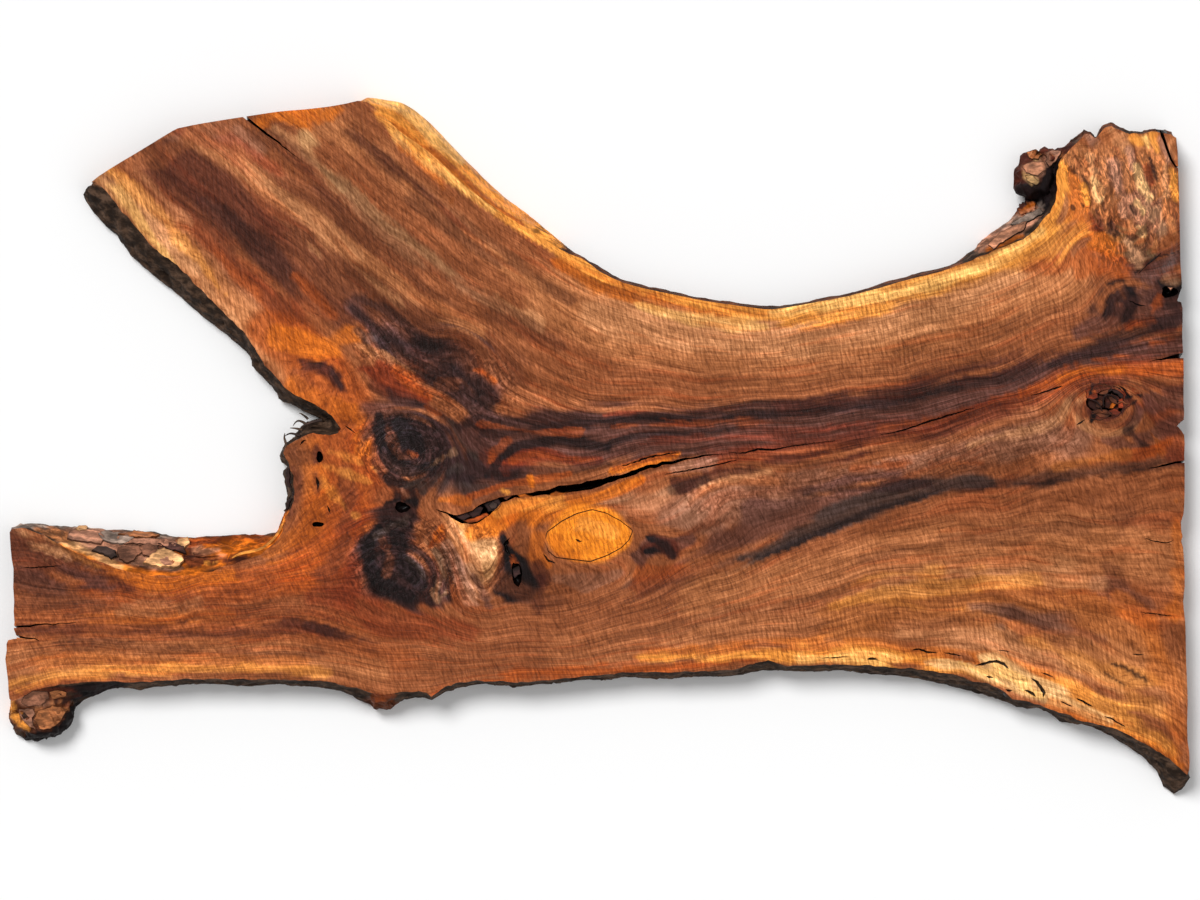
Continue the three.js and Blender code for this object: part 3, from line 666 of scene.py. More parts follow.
BROWN .8 .1 .5: 1129 393 1.4, 1136 392 1.6;
SOOT 1 .1 .5: 1094 414 3, 1091 421 2;
SOOT .9 .2 1: 1120 412 2.4, 1128 406 2, 1138 400 1.4;
WINE .6 .6 3: 1080 386 3, 1098 378 4, 1124 382 4;
# The burl corner, under its bulges.
TAN .8 .3: 1072 160 14, 1080 210 24, 1110 180 30, 1150 160 26, 1150 220 26;
ORANGE .6 .5 6: 1066 170 6, 1078 200 14, 1086 230 12, 1112 246 10;
BAST .7 .3 8: 1110 170 16, 1134 190 20, 1150 220 20;
MOSS .5 .4 8: 1120 236 9, 1140 252 12;
RUST .6 .6: 1030 262 10, 1080 262 14, 1120 268 12;
# Sapwood and gold along the edges.
ORANGE .7 .5: 560 262 8, 610 288 9, 680 304 9, 740 314 9;
GOLD .9 .25 2.5 .5: 378 112 5, 410 138 8, 450 172 8, 500 213 7, 540 240 6, 600 274 6, 680 299 7,
  760 312 9, 800 312 13, 880 298 15, 960 274 14, 1010 255 12, 1045 228 10, 1060 195 7, 1062 165 6;
SAP .9 .3 3: 770 313 4, 820 306 9, 880 296 10, 940 281 10, 1000 256 9, 1040 232 6;
SAP .5 .8: 640 306 5, 700 322 9, 760 328 8;
SAP .6 .8 4: 382 110 7, 412 136 9, 450 172 8, 494 210 5;
UMBER .6 .6 2: 396 134 1, 406 144 1.5, 412 150 1;
UMBER .6 .6 2: 430 160 1, 438 170 1.4, 448 178 1;
GOLD .5 .6: 1010 262 8, 1050 250 12, 1080 228 10;
RUST .75 .5: 440 693 5, 520 677 6, 620 668 6, 730 663 6, 780 655 5;
ORANGE .5 .6: 640 656 6, 740 650 9, 880 650 13, 1000 668 13, 1080 694 14;
GOLD .75 .5: 640 660 3, 740 656 5, 800 655 7, 880 657 9, 940 661 8, 1000 674 9;
GOLD .5 .8 6: 1000 680 8, 1060 694 11, 1120 716 12, 1170 748 10;
CREAM .75 .5 4: 926 662 3, 960 663 8, 990 670 12, 1020 682 12, 1050 696 10, 1080 708 7, 1110 720 5;
SAP .6 .5 3: 960 662 3, 990 672 5, 1014 680 5, 1040 696 4;
ORANGE .5 .8 4: 1050 704 5, 1110 728 6, 1150 748 6;
SAP .6 .4: 800 657 3, 860 658 5, 900 660 5;
TAN .6 .6: 1080 640 14, 1130 660 20, 1170 690 24;
GOLD .4 1 8 .1: 836 604 8, 900 590 14, 970 580 15, 1036 576 8;
GOLD .3 1 8 .1: 1030 640 10, 1090 664 16, 1150 704 18;
DUSK .5 1 8 .1: 1010 616 8, 1060 622 12, 1104 640 8;
WINE .5 1 8 .1: 1110 572 8, 1126 588 10, 1140 606 6;
SOOT .85 .5 1.5: 1102 660 .9, 1124 668 1.2, 1146 680 .9;
SOOT .75 .5 1.5: 1104 672 .8, 1122 684 1, 1142 697 .8;
SOOT .7 .5 1.5: 1076 655 .8, 1092 660 .9;
ORANGE .3 .9: 1120 600 8, 1155 640 14, 1175 700 12, 1178 750 8;
ORANGE .6 .4: 1150 748 7, 1176 766 6;
""")


@dataclass(frozen=True)
class Bulge:
    """One long bulge of the burl: its colour, its radius and its two ends as u and v."""

    tint: Tint
    radius: float
    ends: tuple

    @classmethod
    def read(cls, text: str) -> tuple["Bulge", ...]:
        """Reads bulges: colour, radius and the two ends."""
        return tuple(cls(Tint[name], float(radius), ends) for (name, radius), ends in drawn(text))

    def line(self, aside: float = 0.0, share: float = 1.0) -> tuple:
        """Gives the bulge's line as u, v and radius.

        Args:
            aside: How far the line lies on the shaded side, as a share of the radius.
            share: How wide it is, as a share of the radius.

        Returns:
            The line's two ends.
        """
        off = aside * self.radius
        return tuple((u + off, v + 0.4 * off, share * self.radius) for u, v in self.ends)


BULGES = Bulge.read("""
BAST 6: 1086 133, 1093 141;
TAN 6: 1103 129, 1108 141;
FAWN 5: 1112 128, 1118 140;
TAN 6: 1078 146, 1090 156;
TAN 6: 1100 147, 1110 153;
FAWN 6: 1123 136, 1127 150;
GOLD 6: 1133 137, 1141 143;
SAP 4: 1145 138, 1149 149;
GOLD 6: 1153 135, 1157 151;
BAST 6: 1161 140, 1168 160;
TAN 6: 1171 138, 1175 158;
TAN 6: 1066 152, 1072 162;
FAWN 5: 1089 159, 1096 174;
CREAM 6: 1094 179, 1099 200;
TAN 6: 1103 163, 1106 190;
BAST 7: 1114 164, 1117 186;
TAN 6: 1126 166, 1128 186;
BAST 5: 1129 150, 1134 166;
CREAM 4: 1137 165, 1142 186;
CREAM 5: 1144 186, 1149 198;
RED 4: 1147 166, 1152 184;
TAN 5: 1157 170, 1161 190;
FAWN 4: 1164 165, 1167 196;
GOLD 5: 1172 170, 1176 200;
CREAM 4: 1138 203, 1143 212;
ASH 5: 1148 204, 1152 220;
ASH 5: 1159 211, 1163 231;
TAN 4: 1131 222, 1133 232;
CREAM 4: 1140 228, 1145 236;
TAN 3: 1107 210, 1106 226;
PINK_CLAY 4: 1119 204, 1124 215;
TAN 5: 1168 212, 1175 234;
ASH 7: 1129 245, 1139 262;
RED 4: 1090 214, 1095 227;
GOLD 4: 1085 186, 1088 202;
TAN 4: 1151 234, 1155 246;
""")
BULGE_GAPS = Stroke.read("""
PLUM .8 .2 1: 1102 203 2.5, 1105 209 3;
WINE .8 .2 2: 1097 210 3, 1101 226 4;
PLUM .8 .2 2: 1110 224 4, 1116 232 4;
SOOT .8 .2 1: 1131 206 2.5, 1136 214 2.5;
PLUM .9 .2 1: 1150 158 2, 1155 172 3, 1157 180 2;
PLUM .7 .2 1: 1083 176 2, 1088 184 2.5;
WINE .7 .3 3: 1132 236 4, 1150 228 5, 1148 244 4;
PLUM .7 .2 1: 1070 168 2.5, 1075 172 2.5;
SOOT .8 .1 .5: 1072 206 1.6, 1074 209 1.6;
SOOT .8 .1 .5: 1082 204 1.6, 1084 206 1.6;
""")


def bulge_strokes() -> tuple[Stroke, ...]:
    """Gives each bulge a shaded side and a lit side, and then the dark gaps between them.

    Returns:
        The strokes, in the order they are laid in.
    """
    shaded = tuple(Stroke(Tint.WINE, 0.6, bulge.line(1.0, 0.8), 0.6, 3) for bulge in BULGES)
    lit = tuple(Stroke(bulge.tint, 0.75, bulge.line(), 0.8, 3, 0.2) for bulge in BULGES)
    return shaded + lit + BULGE_GAPS


# Painted highlights: the cream spots on the knob.
# Painted shade: black along the stub's lower and right edges.
# Painted shade: black under the knob and in the gap between it and the face.
# Painted shadow: the black band between the slab's rim and the stub.
WALL_STROKES = Stroke.read("""
# Bare sapwood on the broad limb's far side.
GOLD 1 .2 2 .8: 362 96 14, 400 112 22, 440 145 20, 480 182 14, 520 215 10, 560 242 6;
SAP .8 .6 3: 375 98 6, 405 108 8, 430 135 7, 460 160 6;
RUST .8 .6 2: 392 124 3, 430 152 5, 470 186 5, 520 224 4;
UMBER .7 .6 5 .6: 570 256 8, 640 285 8, 760 306 8, 900 278 8, 960 262 8;
# The narrow limb's sloping side, under its bark plates.
BARK_GREY 1 .2 3 .8: 14 524 7, 60 524 7, 120 530 6, 170 536 6;
BAST 1 .4 3 .8: 70 540 12, 120 548 16, 170 556 18;
ORANGE .9 .3 2 .7: 60 548 5, 90 560 7, 130 572 8, 170 578 8, 200 574 8;
GOLD .7 .4 2: 64 544 3, 88 554 4, 108 562 4, 130 568 3;
ORANGE 1 .3 3 .8: 192 552 17, 220 552 16, 250 548 14, 276 538 12, 288 522 8;
BARK_TAN .8 .6 4: 64 543 3, 84 550 5, 104 559 5, 122 566 3;
TAN .9 .4 3: 34 530 3, 50 534 5, 66 537 4;
PINK_CLAY .9 .7 5: 192 549 5, 206 551 6, 219 550 5;
RED .9 .6 4: 192 541 3, 206 541 4, 220 543 4;
WINE .9 .5 5: 188 560 5, 204 563 5, 226 563 4, 244 560 3;
GOLD .9 .5 2: 206 562 1.6, 214 563 2.4, 221 563 1.4;
WINE .6 .7 4: 158 548 4, 172 548 5, 184 551 5;
RUST .8 .5 3: 196 540 5, 230 537 6, 262 536 5;
WINE .8 .2 2: 206 558 3, 230 562 3, 250 558 2;
BARK .9 .2 2: 186 535 4, 230 532 4, 270 531 4;
# The stub.
SOOT 1 .1 2 .8: 24 691 3, 60 688 4, 90 690 6, 124 684 5;
UMBER 1 .1 3 .9: 20 705 22, 50 712 24;
BAST .8 .2 3: 24 698 8, 38 700 9, 46 706 6;
WINE .9 .3 3: 48 690 4, 66 689 4, 76 694 4;
PLUM .8 .5 3: 60 702 3, 72 700 4;
TAN .8 .3 4: 40 716 7, 54 718 8, 64 712 6;
GOLD 1 .2 2: 11 702 4, 13 712 4, 18 722 4, 28 729 3;
SOOT 1 .1 2 .8: 22 738 5, 48 737 6, 66 728 7, 78 706 7;
PLUM .7 .1 1: 44 703 1.6, 50 711 2, 46 720 1.6;
PLUM .7 .1 1: 28 708 1.6, 38 712 2, 32 724 1.6;
# The burl and its flap.
WINE 1 .1 3 .9: 1018 200 22, 1030 175 30, 1050 155 24;
BAST .9 .3 4: 1024 168 5, 1036 168 7, 1044 160 6;
CREAM .9 .2 2: 1027 153 2.5, 1036 157 3.5;
CREAM .9 .2 2: 1025 175 3, 1034 180 3.5;
TAN .7 .2 2: 1054 153 3, 1062 156 3;
SOOT .95 .1 3 .8: 1020 190 8, 1032 196 10, 1044 196 8;
SOOT 1 .1 2 .8: 1060 158 3, 1053 170 6, 1050 190 8, 1040 212 6;
BAST 1 .3 4 .7: 982 246 6, 1004 236 10, 1024 222 8, 1036 214 5;
BARK_GREY .6 .6 2: 1000 226 3, 1020 216 4, 1040 208 3;
ORANGE .6 .2 2: 1022 212 3, 1032 206 3;
ORANGE .8 .3 2: 986 252 2.5, 1006 244 3, 1022 236 2.5;
UMBER .8 .2 2: 1064 142 5, 1090 130 5, 1120 125 5, 1175 130 5;
UMBER .8 .2 3: 370 704 8, 390 706 8;
RUST .6 .2 3: 376 697 4, 392 696 4;
""")


@dataclass
class Painter:
    """Lays strokes of colour on points of the slab, each broken up along the grain."""

    streaks: Waves = field(default_factory=lambda: Waves(21, 14.0, 3))
    fingers: Waves = field(default_factory=lambda: Waves(22, 9.0, 3))
    wander: Waves = field(default_factory=lambda: Waves(23, 60.0))
    streak_reach: float = 0.08
    finger_reach: float = 0.06
    finger_level: float = 0.9
    rim: float = 1.3

    def lay(
        self, strokes: tuple, ground: Tint, u: np.ndarray, v: np.ndarray, level: np.ndarray
    ) -> np.ndarray:
        """Lays the strokes in order.

        Args:
            strokes: The strokes.
            ground: The colour under them.
            u: Readings to the right.
            v: Readings downwards.
            level: The grain's level at each point.

        Returns:
            A colour for each point.
        """
        tone = np.tile(np.array(ground.value), (len(u), 1))
        streak = self.streaks.at(u * self.streak_reach, v * self.streak_reach, level)
        finger = self.fingers.at(u * self.finger_reach, v * self.finger_reach, level * self.finger_level)
        finger += 0.5 * self.wander.at(u, v)
        for stroke in strokes:
            line = np.array(stroke.line, float)
            reach = line[:, 2].max() + 2 * stroke.ragged + 4
            (u0, v0), (u1, v1) = line[:, :2].min(axis=0) - reach, line[:, :2].max(axis=0) + reach
            near = np.nonzero((u > u0) & (u < u1) & (v > v0) & (v < v1))[0]
            if not len(near):
                continue
            share, _ = along_line(u[near], v[near], line)
            share += finger[near] * stroke.ragged / line[:, 2].mean()
            cover = 1 - smooth(stroke.core, self.rim, share)
            broken = np.clip(cover * (1 + stroke.streaky * streak[near] * (1.4 - cover)), 0, 1)
            weight = (stroke.strength * smooth(0.0, 0.9, broken))[:, None]
            tone[near] = tone[near] * (1 - weight) + np.array(stroke.tint.value) * weight
        return tone


@dataclass(frozen=True)
class Fissure:
    """A thin split opened in the upper face: rows of u, v and half width in survey units, and its depth."""

    line: tuple
    depth: float
    ragged: float = 0.5
    pace: float = 2.2
    jitter: float = 0.35

    @classmethod
    def read(cls, text: str) -> tuple["Fissure", ...]:
        """Reads splits: depth in millimetres and, where it isn't the usual, raggedness."""
        return tuple(
            cls(line, float(depth) / MILLIMETRE, *map(float, rest)) for (depth, *rest), line in drawn(text)
        )

    def rows(self, seed: int) -> tuple[np.ndarray, np.ndarray, np.ndarray]:
        """Lays out the split's left lip, right lip and floor.

        Args:
            seed: Seed of the lips' raggedness.

        Returns:
            Three arrays of places, whose first and last rows are the split's tips.
        """
        line = np.array(self.line, float)
        steps = np.concatenate([[0], np.cumsum(np.hypot(*np.diff(line[:, :2], axis=0).T))])
        count = max(4, int(steps[-1] / self.pace))
        at = np.linspace(0, steps[-1], count)
        draw = np.random.default_rng(seed)
        u, v, half = (np.interp(at, steps, line[:, k]) for k in range(3))
        u = u + draw.normal(0, self.jitter, count) * self.ragged
        v = v + draw.normal(0, self.jitter, count) * self.ragged
        half = half * (1 + 0.5 * self.ragged * draw.uniform(-1, 1, count))
        middle = np.column_stack(SURVEY.at(u, v))
        way = np.gradient(middle, axis=0)
        way /= np.linalg.norm(way, axis=1, keepdims=True) + TINY
        side = np.column_stack([-way[:, 1], way[:, 0]]) * (half * SURVEY.unit)[:, None]
        face = np.full(count, THICKNESS)
        left, right = np.column_stack([middle + side, face]), np.column_stack([middle - side, face])
        floor = np.column_stack([middle, face - self.depth * np.clip(half / line[:, 2].max(), 0.3, 1)])
        for row in (left, right, floor):
            row[[0, -1]] = np.column_stack([middle, face])[[0, -1]]
        return left, right, floor


FISSURES = Fissure.read("""
6: 727 452.6 .3, 745 453 .7, 758 449 1, 772 450 .9, 790 446.5 .6, 812 443.5 .4, 836 440.5 .3;
6: 880 435 .3, 904 430 .8, 930 421 1, 952 414.5 .8, 975 407.5 .3;
6: 664 474.5 .3, 690 470 .8, 712 466 .9, 738 459.5 .4;
8 .9: 510 538 .6, 505 545 2.2, 508 552 2, 513 558 .6;
4: 575 539 .5, 579 541 1.3, 583 541 .4;
1.6 .15: 545 540 .2, 547 532 .5, 562 521 .6, 577 513.5 .6, 592 509.5 .6, 606 513 .5, 620 520.5 .5,
  633 530.5 .4, 629 540 .5, 621 548 .5, 606 556 .6, 590 561.5 .6, 573 559.5 .6, 556 557.5 .5,
  548 551 .4, 546.5 545 .2;
6: 344 425 .3, 350 429.5 .8, 357 434 .3;
6: 912 650.5 .3, 919 649 1, 927 652 1.2, 938 653 .4;
6: 943 652 .3, 952 654 .9, 962 655.5 .3;
6: 975 665.5 .4, 984 663.6 1.5, 991 661.5 1.4, 998 661.5 1.6, 1004 664 1.4, 1009 669 .5;
6: 1031 678 .4, 1037 682 1.5, 1041 688 1.5, 1044 693 1.6, 1043.5 698 .5;
6: 867 659 .4, 872 658.4 1.8, 878 659.6 .5;
6: 986 676 .4, 990 677 1.5, 994 678 .4;
6: 1005 689 .4, 1009 690.4 1.4, 1013 690 .4;
6: 1024 690 .4, 1028 691 1.5, 1033 694 1.3, 1036 697 .4;
6: 1076 698 .3, 1081 700.5 1.1, 1089 705 .9, 1094 707 .3;
6: 1060 701 .3, 1066 704 1, 1073 706.5 .3;
3: 1138 612 .2, 1152 613.5 .6, 1166 615.5 .5, 1174 616 .2;
3: 1144 538 .2, 1156 541.5 .6, 1168 543 .5, 1174 539.5 .2;
4: 18 568 .2, 34 567.6 .7, 50 566.6 .6, 62 565.6 .2;
5: 300 445 .4, 303 441 1.4, 307 439.5 .4;
5: 327 505 .4, 329 509 1.4, 330 513 .4;
5: 316 476 .4, 318 483 1.6, 318 491 .4;
4: 1128 300 .3, 1138 305 .9, 1148 306 .3;
3: 820 658.2 .2, 834 657.5 .6, 850 656.5 .2;
5 .8: 622 466.5 .3, 634 462.5 .8, 648 457.5 .9, 664 454.5 .7, 680 452.5 .3;
4: 543 553 .3, 547 560 1.1, 556 563.5 .3;
4: 1118 385 .3, 1124 389 1.2, 1127 394 1.4, 1131 399 .3;
3: 1086 419 .3, 1080 423 1, 1076 425 .3;
4: 1064 386 .3, 1056 388 .9, 1044 392 .8, 1030 396 .3;
3: 1040 672 .3, 1048 675 .9, 1054 677.5 .3;
2: 996 650 .2, 1004 650.6 .6, 1010 652 .2;
4: 1104 716 .3, 1112 719 1, 1120 724 .8, 1126 727 .3;
3: 1132 654 .3, 1138 655 .8, 1144 654 .3;
3: 1138 274 .2, 1148 264 .6, 1158 256 .5, 1162 252 .2;
""")


def read_all(
    items: bpy.types.bpy_prop_collection, key: str, kind: type = float, width: int = 1
) -> np.ndarray:
    """Reads one value of every item of a mesh.

    Args:
        items: The mesh's vertices, edges, corners or faces.
        key: Name of the value.
        kind: Type of the value.
        width: How many numbers the value has.

    Returns:
        One value, or one row of numbers, for each item.
    """
    values = np.empty(len(items) * width, kind)
    items.foreach_get(key, values)
    return values.reshape(-1, width) if width > 1 else values


@dataclass
class FineSlab:
    """The slab in fine mesh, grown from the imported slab: same outline, real bark, splits and figure."""

    name: str = "walnut_slab"
    face_step: float = 0.0058
    under_step: float = 0.016
    wall_step: float = 0.0082
    wall_rounds: int = 4
    fine_zones: tuple = (
        (0.0031, 350, 296, 690, 618),
        (0.0027, 1056, 122, 1184, 272),
        (0.0031, 1072, 368, 1160, 452),
        (0.0034, 860, 644, 1120, 725),
    )
    net_clearance: float = 0.55
    net_jitter: float = 0.12
    flat: float = 0.999
    flat_gap: float = 2e-4
    bark_relief: float = 0.0022
    edge_waver: float = 0.0011
    sawn_ends: tuple = (
        points("92 180, 131 154.5, 178 126.5, 247 114.5, 305 107.5, 358 99"),
        points("1177 132, 1179 180, 1182 286, 1184 400, 1185 500, 1182 528, 1186 620, 1188 700, 1189 768"),
        points("10 697, 6 657, 8 639, 15 630, 14 600, 13 560, 10 530"),
    )
    bare_edge: str = "368 98, 405 112, 446 145, 491 188, 544 230, 600 270, 680 293, 770 305, 860 290, 950 262"
    peeled_edge: str = "362 98, 440 150, 520 215"
    corner_inset: float = 9.0
    sawn_slack: float = 6.0
    sawn_shade: float = 0.55
    lumps: tuple = ((1037, 176, 26), (1026, 205, 12), (40, 712, 34), (383, 699, 14))
    burl_rim: str = "1060 160, 1085 132, 1110 125, 1140 131, 1177 130, 1182 286"
    burl_area: str = "1076 160 26, 1110 180 50, 1150 190 60, 1140 240 44"
    burl_depth: float = 0.0034
    bulge_reach: float = 1.25
    # Depth scale of the painted shade in the cuts, which darkens with depth.
    cut_shade_fade: float = 0.008
    split_reach: float = 5.0
    cuts: str = """
    437 508 9, 457 515 12, 480 510 16, 505 500 12, 560 488 12, 612 478 12, 722 452 8;
    246 116 3, 270 134 4, 300 158 4;
    1150 359 4, 1182 352 7;
    1150 467 4, 1183 460 4;
    1161 130 3, 1171 157 4, 1178 165 3;
    14 625 3, 76 620 4;
    18 634.5 2, 40 638 4;
    1096 401 24, 1118 401 24;
    517 562 10, 517 582 10;
    394 505 10, 412 505 10;
    320 450 7, 320 460 7;
    312 522 6, 326 523 6;
    1162 290 9, 1176 290 8
    """

    def build(self) -> bpy.types.Object:
        """Builds the fine slab.

        Returns:
            The slab.
        """
        self.grain = Grain()
        self.painter = Painter()
        shell, rims_top, rims_low = self._walls()
        top = self._cover(shell, rims_top, THICKNESS, self.face_step, FISSURES)
        self._cover(shell, rims_low, 0.0, self.under_step, ())
        LOG.info("slab: %d faces, %d on the upper face", len(shell.faces), top)
        mesh = bpy.data.meshes.new(self.name)
        shell.to_mesh(mesh)
        shell.free()
        slab = bpy.data.objects.new(self.name, mesh)
        bpy.context.collection.objects.link(slab)
        self._dress(mesh)
        return slab

    def _walls(self) -> tuple[bmesh.types.BMesh, list, list]:
        """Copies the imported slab's walls, makes them finer and gives them relief.

        Returns:
            The walls as a bmesh, and the rim edges of the upper and of the lower face.
        """
        shell = bmesh.new()
        shell.from_mesh(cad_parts["slab"].data)
        bmesh.ops.remove_doubles(shell, verts=shell.verts, dist=1e-6)
        high, low = THICKNESS - self.flat_gap, self.flat_gap
        flats = [f for f in shell.faces if f.normal.z > self.flat and min(v.co.z for v in f.verts) > high]
        flats += [f for f in shell.faces if f.normal.z < -self.flat and max(v.co.z for v in f.verts) < low]
        bmesh.ops.delete(shell, geom=flats, context="FACES")
        for _ in range(self.wall_rounds):
            long_edges = [e for e in shell.edges if e.calc_length() > self.wall_step]
            if not long_edges:
                break
            bmesh.ops.subdivide_edges(shell, edges=long_edges, cuts=1, use_grid_fill=False)
            bmesh.ops.triangulate(shell, faces=[f for f in shell.faces if len(f.verts) > 3])
        shell.normal_update()
        self._relieve(shell)
        rim = [e for e in shell.edges if e.is_boundary]
        top = [e for e in rim if e.verts[0].co.z > THICKNESS / 2]
        return shell, top, [e for e in rim if e.verts[0].co.z < THICKNESS / 2]

    def _relieve(self, shell: bmesh.types.BMesh) -> None:
        """Moves the walls in and out as bark and broken wood do, and the rims along with them.

        Args:
            shell: The walls.
        """
        places = np.array([v.co[:] for v in shell.verts])
        normals = np.array([v.normal[:] for v in shell.verts])
        u, v = SURVEY.reading(*places.T)
        free = smooth(3, 12, self._from_sawn(u, v))
        free *= 0.25 + 0.75 * smooth(14, 26, from_line(u, v, points(self.bare_edge)))
        lumpy = np.zeros(len(u))
        for lump_u, lump_v, radius in self.lumps:
            lumpy = np.maximum(lumpy, 1 - smooth(0.8, 1.2, np.hypot(u - lump_u, v - lump_v) / radius))
        x, y, z = places.T * MILLIMETRE
        ridges = 1 - 2 * np.abs(Waves(31, 26, 3).at(x, y, z * 1.4))
        crumbs = Waves(32, 11, 3).at(x, y, z)
        up = z / (THICKNESS * MILLIMETRE)
        body = np.sin(np.pi * np.clip(up, 0, 1)) ** 0.6
        push = self.bark_relief * (0.75 * ridges + 0.45 * crumbs) * body * free * (1 + 1.3 * lumpy)
        places += normals * push[:, None]
        for axis, seed in ((0, 33), (1, 35)):
            waver = Waves(seed, 24).at(x, y) + 0.35 * Waves(seed + 1, 9).at(x, y)
            places[:, axis] += self.edge_waver * waver * free * smooth(0.05, 0.3, up)
        places[:, 2] = np.clip(places[:, 2], 0, THICKNESS)
        places[np.isclose(z, THICKNESS * MILLIMETRE, atol=0.2), 2] = THICKNESS
        places[z < 0.2, 2] = 0
        for vert, place in zip(shell.verts, places):
            vert.co = place

    def _from_sawn(self, u: np.ndarray, v: np.ndarray) -> np.ndarray:
        """Measures how far readings are from the sawn ends, whose lower edges read further out or in.

        Args:
            u: Readings to the right.
            v: Readings downwards.

        Returns:
            The distance, less a slack away from the ends' corners.
        """
        nearest = np.full(len(u), FAR)
        for line in self.sawn_ends:
            nearest = np.minimum(nearest, from_line(u, v, line))
            inset = line.copy()
            for end, beside in ((0, 1), (-1, -2)):
                away = inset[beside] - inset[end]
                inset[end] += away * self.corner_inset / np.hypot(*away)
            nearest = np.minimum(nearest, from_line(u, v, inset) - self.sawn_slack)
        return nearest

    def _cover(
        self, shell: bmesh.types.BMesh, rims: list, height: float, step: float, fissures: tuple
    ) -> int:
        """Closes a sawn face with an even net of triangles, and opens the thin splits in it.

        Args:
            shell: The walls, which take the face.
            rims: The face's rim edges.
            height: The face's height.
            step: Size of the triangles.
            fissures: Thin splits.

        Returns:
            How many triangles the face has.
        """
        verts = list(dict.fromkeys(v for e in rims for v in e.verts))
        index = {v: i for i, v in enumerate(verts)}
        edges = [(index[e.verts[0]], index[e.verts[1]]) for e in rims]
        for number, fissure in enumerate(fissures):
            loop = self._open(shell, fissure.rows(100 + number))
            base = len(verts)
            verts += loop
            edges += [(base + i, base + (i + 1) % len(loop)) for i in range(len(loop))]
        rim = np.array([v.co[:2] for v in verts])
        ends = np.array(edges)
        net = self._net(rim, ends, step, height)
        coords = [Vector(p) for p in rim] + [Vector(p) for p in net]
        flat, _, faces, origins, _, _ = delaunay_2d_cdt(coords, edges, [], 1, 1e-7)
        homes = []
        for place, origin in zip(flat, origins):
            known = origin and origin[0] < len(verts)
            homes.append(verts[origin[0]] if known else shell.verts.new((place.x, place.y, height)))
        flat = np.array([p[:] for p in flat])
        tris = np.array(faces)
        tris = tris[self._inside(flat[tris].mean(axis=1), rim, ends)]
        for a, b, c in tris:
            shell.faces.new((homes[a], homes[b], homes[c]) if height > 0 else (homes[a], homes[c], homes[b]))
        return len(tris)

    @staticmethod
    def _open(shell: bmesh.types.BMesh, rows: tuple[np.ndarray, np.ndarray, np.ndarray]) -> list:
        """Adds the two slopes of a thin split.

        Args:
            shell: The walls, which take the slopes.
            rows: The places of the left lip, the right lip and the floor.

        Returns:
            The vertices round the split's mouth.
        """
        left, right, floor = rows
        lips_left = [shell.verts.new(p) for p in left]
        first, last = lips_left[0], lips_left[-1]
        lips_right = [first] + [shell.verts.new(p) for p in right[1:-1]] + [last]
        bed = [first] + [shell.verts.new(p) for p in floor[1:-1]] + [last]
        for i in range(len(left) - 1):
            for lip, turn in ((lips_left, False), (lips_right, True)):
                ring = list(dict.fromkeys([lip[i], lip[i + 1], bed[i + 1], bed[i]]))
                if len(ring) >= 3:
                    shell.faces.new(ring if turn else ring[::-1])
        return lips_left + lips_right[-2:0:-1]

    def _net(self, rim: np.ndarray, ends: np.ndarray, step: float, height: float) -> np.ndarray:
        """Spreads points evenly over a face, closer together where the upper face is finely drawn.

        Args:
            rim: The rim's points.
            ends: The rim's edges.
            step: Usual gap between points.
            height: The face's height.

        Returns:
            The points.
        """
        zones = [(step, *rim.min(axis=0), *rim.max(axis=0))]
        if height > 0:
            for fine, u0, v0, u1, v1 in self.fine_zones:
                (x0, x1), (y1, y0) = SURVEY.at([u0, u1], [v0, v1])
                zones.append((fine, x0, y0, x1, y1))
        net = np.zeros((0, 2))
        draw = np.random.default_rng(5)
        for gap, x0, y0, x1, y1 in zones:
            taken = (net[:, 0] > x0 - gap) & (net[:, 0] < x1 + gap)
            taken &= (net[:, 1] > y0 - gap) & (net[:, 1] < y1 + gap)
            rows = np.arange(y0, y1, gap * math.sqrt(3) / 2)
            cols = np.arange(x0, x1, gap)
            part = np.array([(x + (gap / 2 if j % 2 else 0), y) for j, y in enumerate(rows) for x in cols])
            part += draw.uniform(-self.net_jitter, self.net_jitter, part.shape) * gap
            part = part[self._inside(part, rim, ends)]
            net = np.vstack([net[~taken], part[self._clear(part, rim, ends, self.net_clearance * gap)]])
        return net

    @staticmethod
    def _inside(spots: np.ndarray, rim: np.ndarray, ends: np.ndarray) -> np.ndarray:
        """Tells which points lie inside the rim and outside its holes.

        Args:
            spots: The points.
            rim: The rim's points.
            ends: The rim's edges.

        Returns:
            True for each point inside.
        """
        inside = np.zeros(len(spots), bool)
        order = np.argsort(spots[:, 1])
        across, heights = spots[order].T
        flips = np.zeros(len(spots), bool)
        for a, b in ends:
            (x0, y0), (x1, y1) = rim[a], rim[b]
            if y0 == y1:
                continue
            if y0 > y1:
                x0, y0, x1, y1 = x1, y1, x0, y0
            part = slice(np.searchsorted(heights, y0, "left"), np.searchsorted(heights, y1, "left"))
            flips[part] ^= across[part] < x0 + (heights[part] - y0) * (x1 - x0) / (y1 - y0)
        inside[order] = flips
        return inside

    @staticmethod
    def _clear(spots: np.ndarray, rim: np.ndarray, ends: np.ndarray, gap: float) -> np.ndarray:
        """Tells which points keep a gap from the rim.

        Args:
            spots: The points.
            rim: The rim's points.
            ends: The rim's edges.
            gap: The gap.

        Returns:
            True for each point that keeps it.
        """
        clear = np.ones(len(spots), bool)
        order = np.argsort(spots[:, 0])
        cols = spots[order, 0]
        for a, b in ends:
            p, q = rim[a], rim[b]
            first = np.searchsorted(cols, min(p[0], q[0]) - gap)
            part = order[first : np.searchsorted(cols, max(p[0], q[0]) + gap)]
            near = spots[part]
            way = q - p
            t = np.clip(((near - p) @ way) / max(way @ way, TINY), 0, 1)
            clear[part[np.linalg.norm(near - p - t[:, None] * way, axis=1) < gap]] = False
        return clear

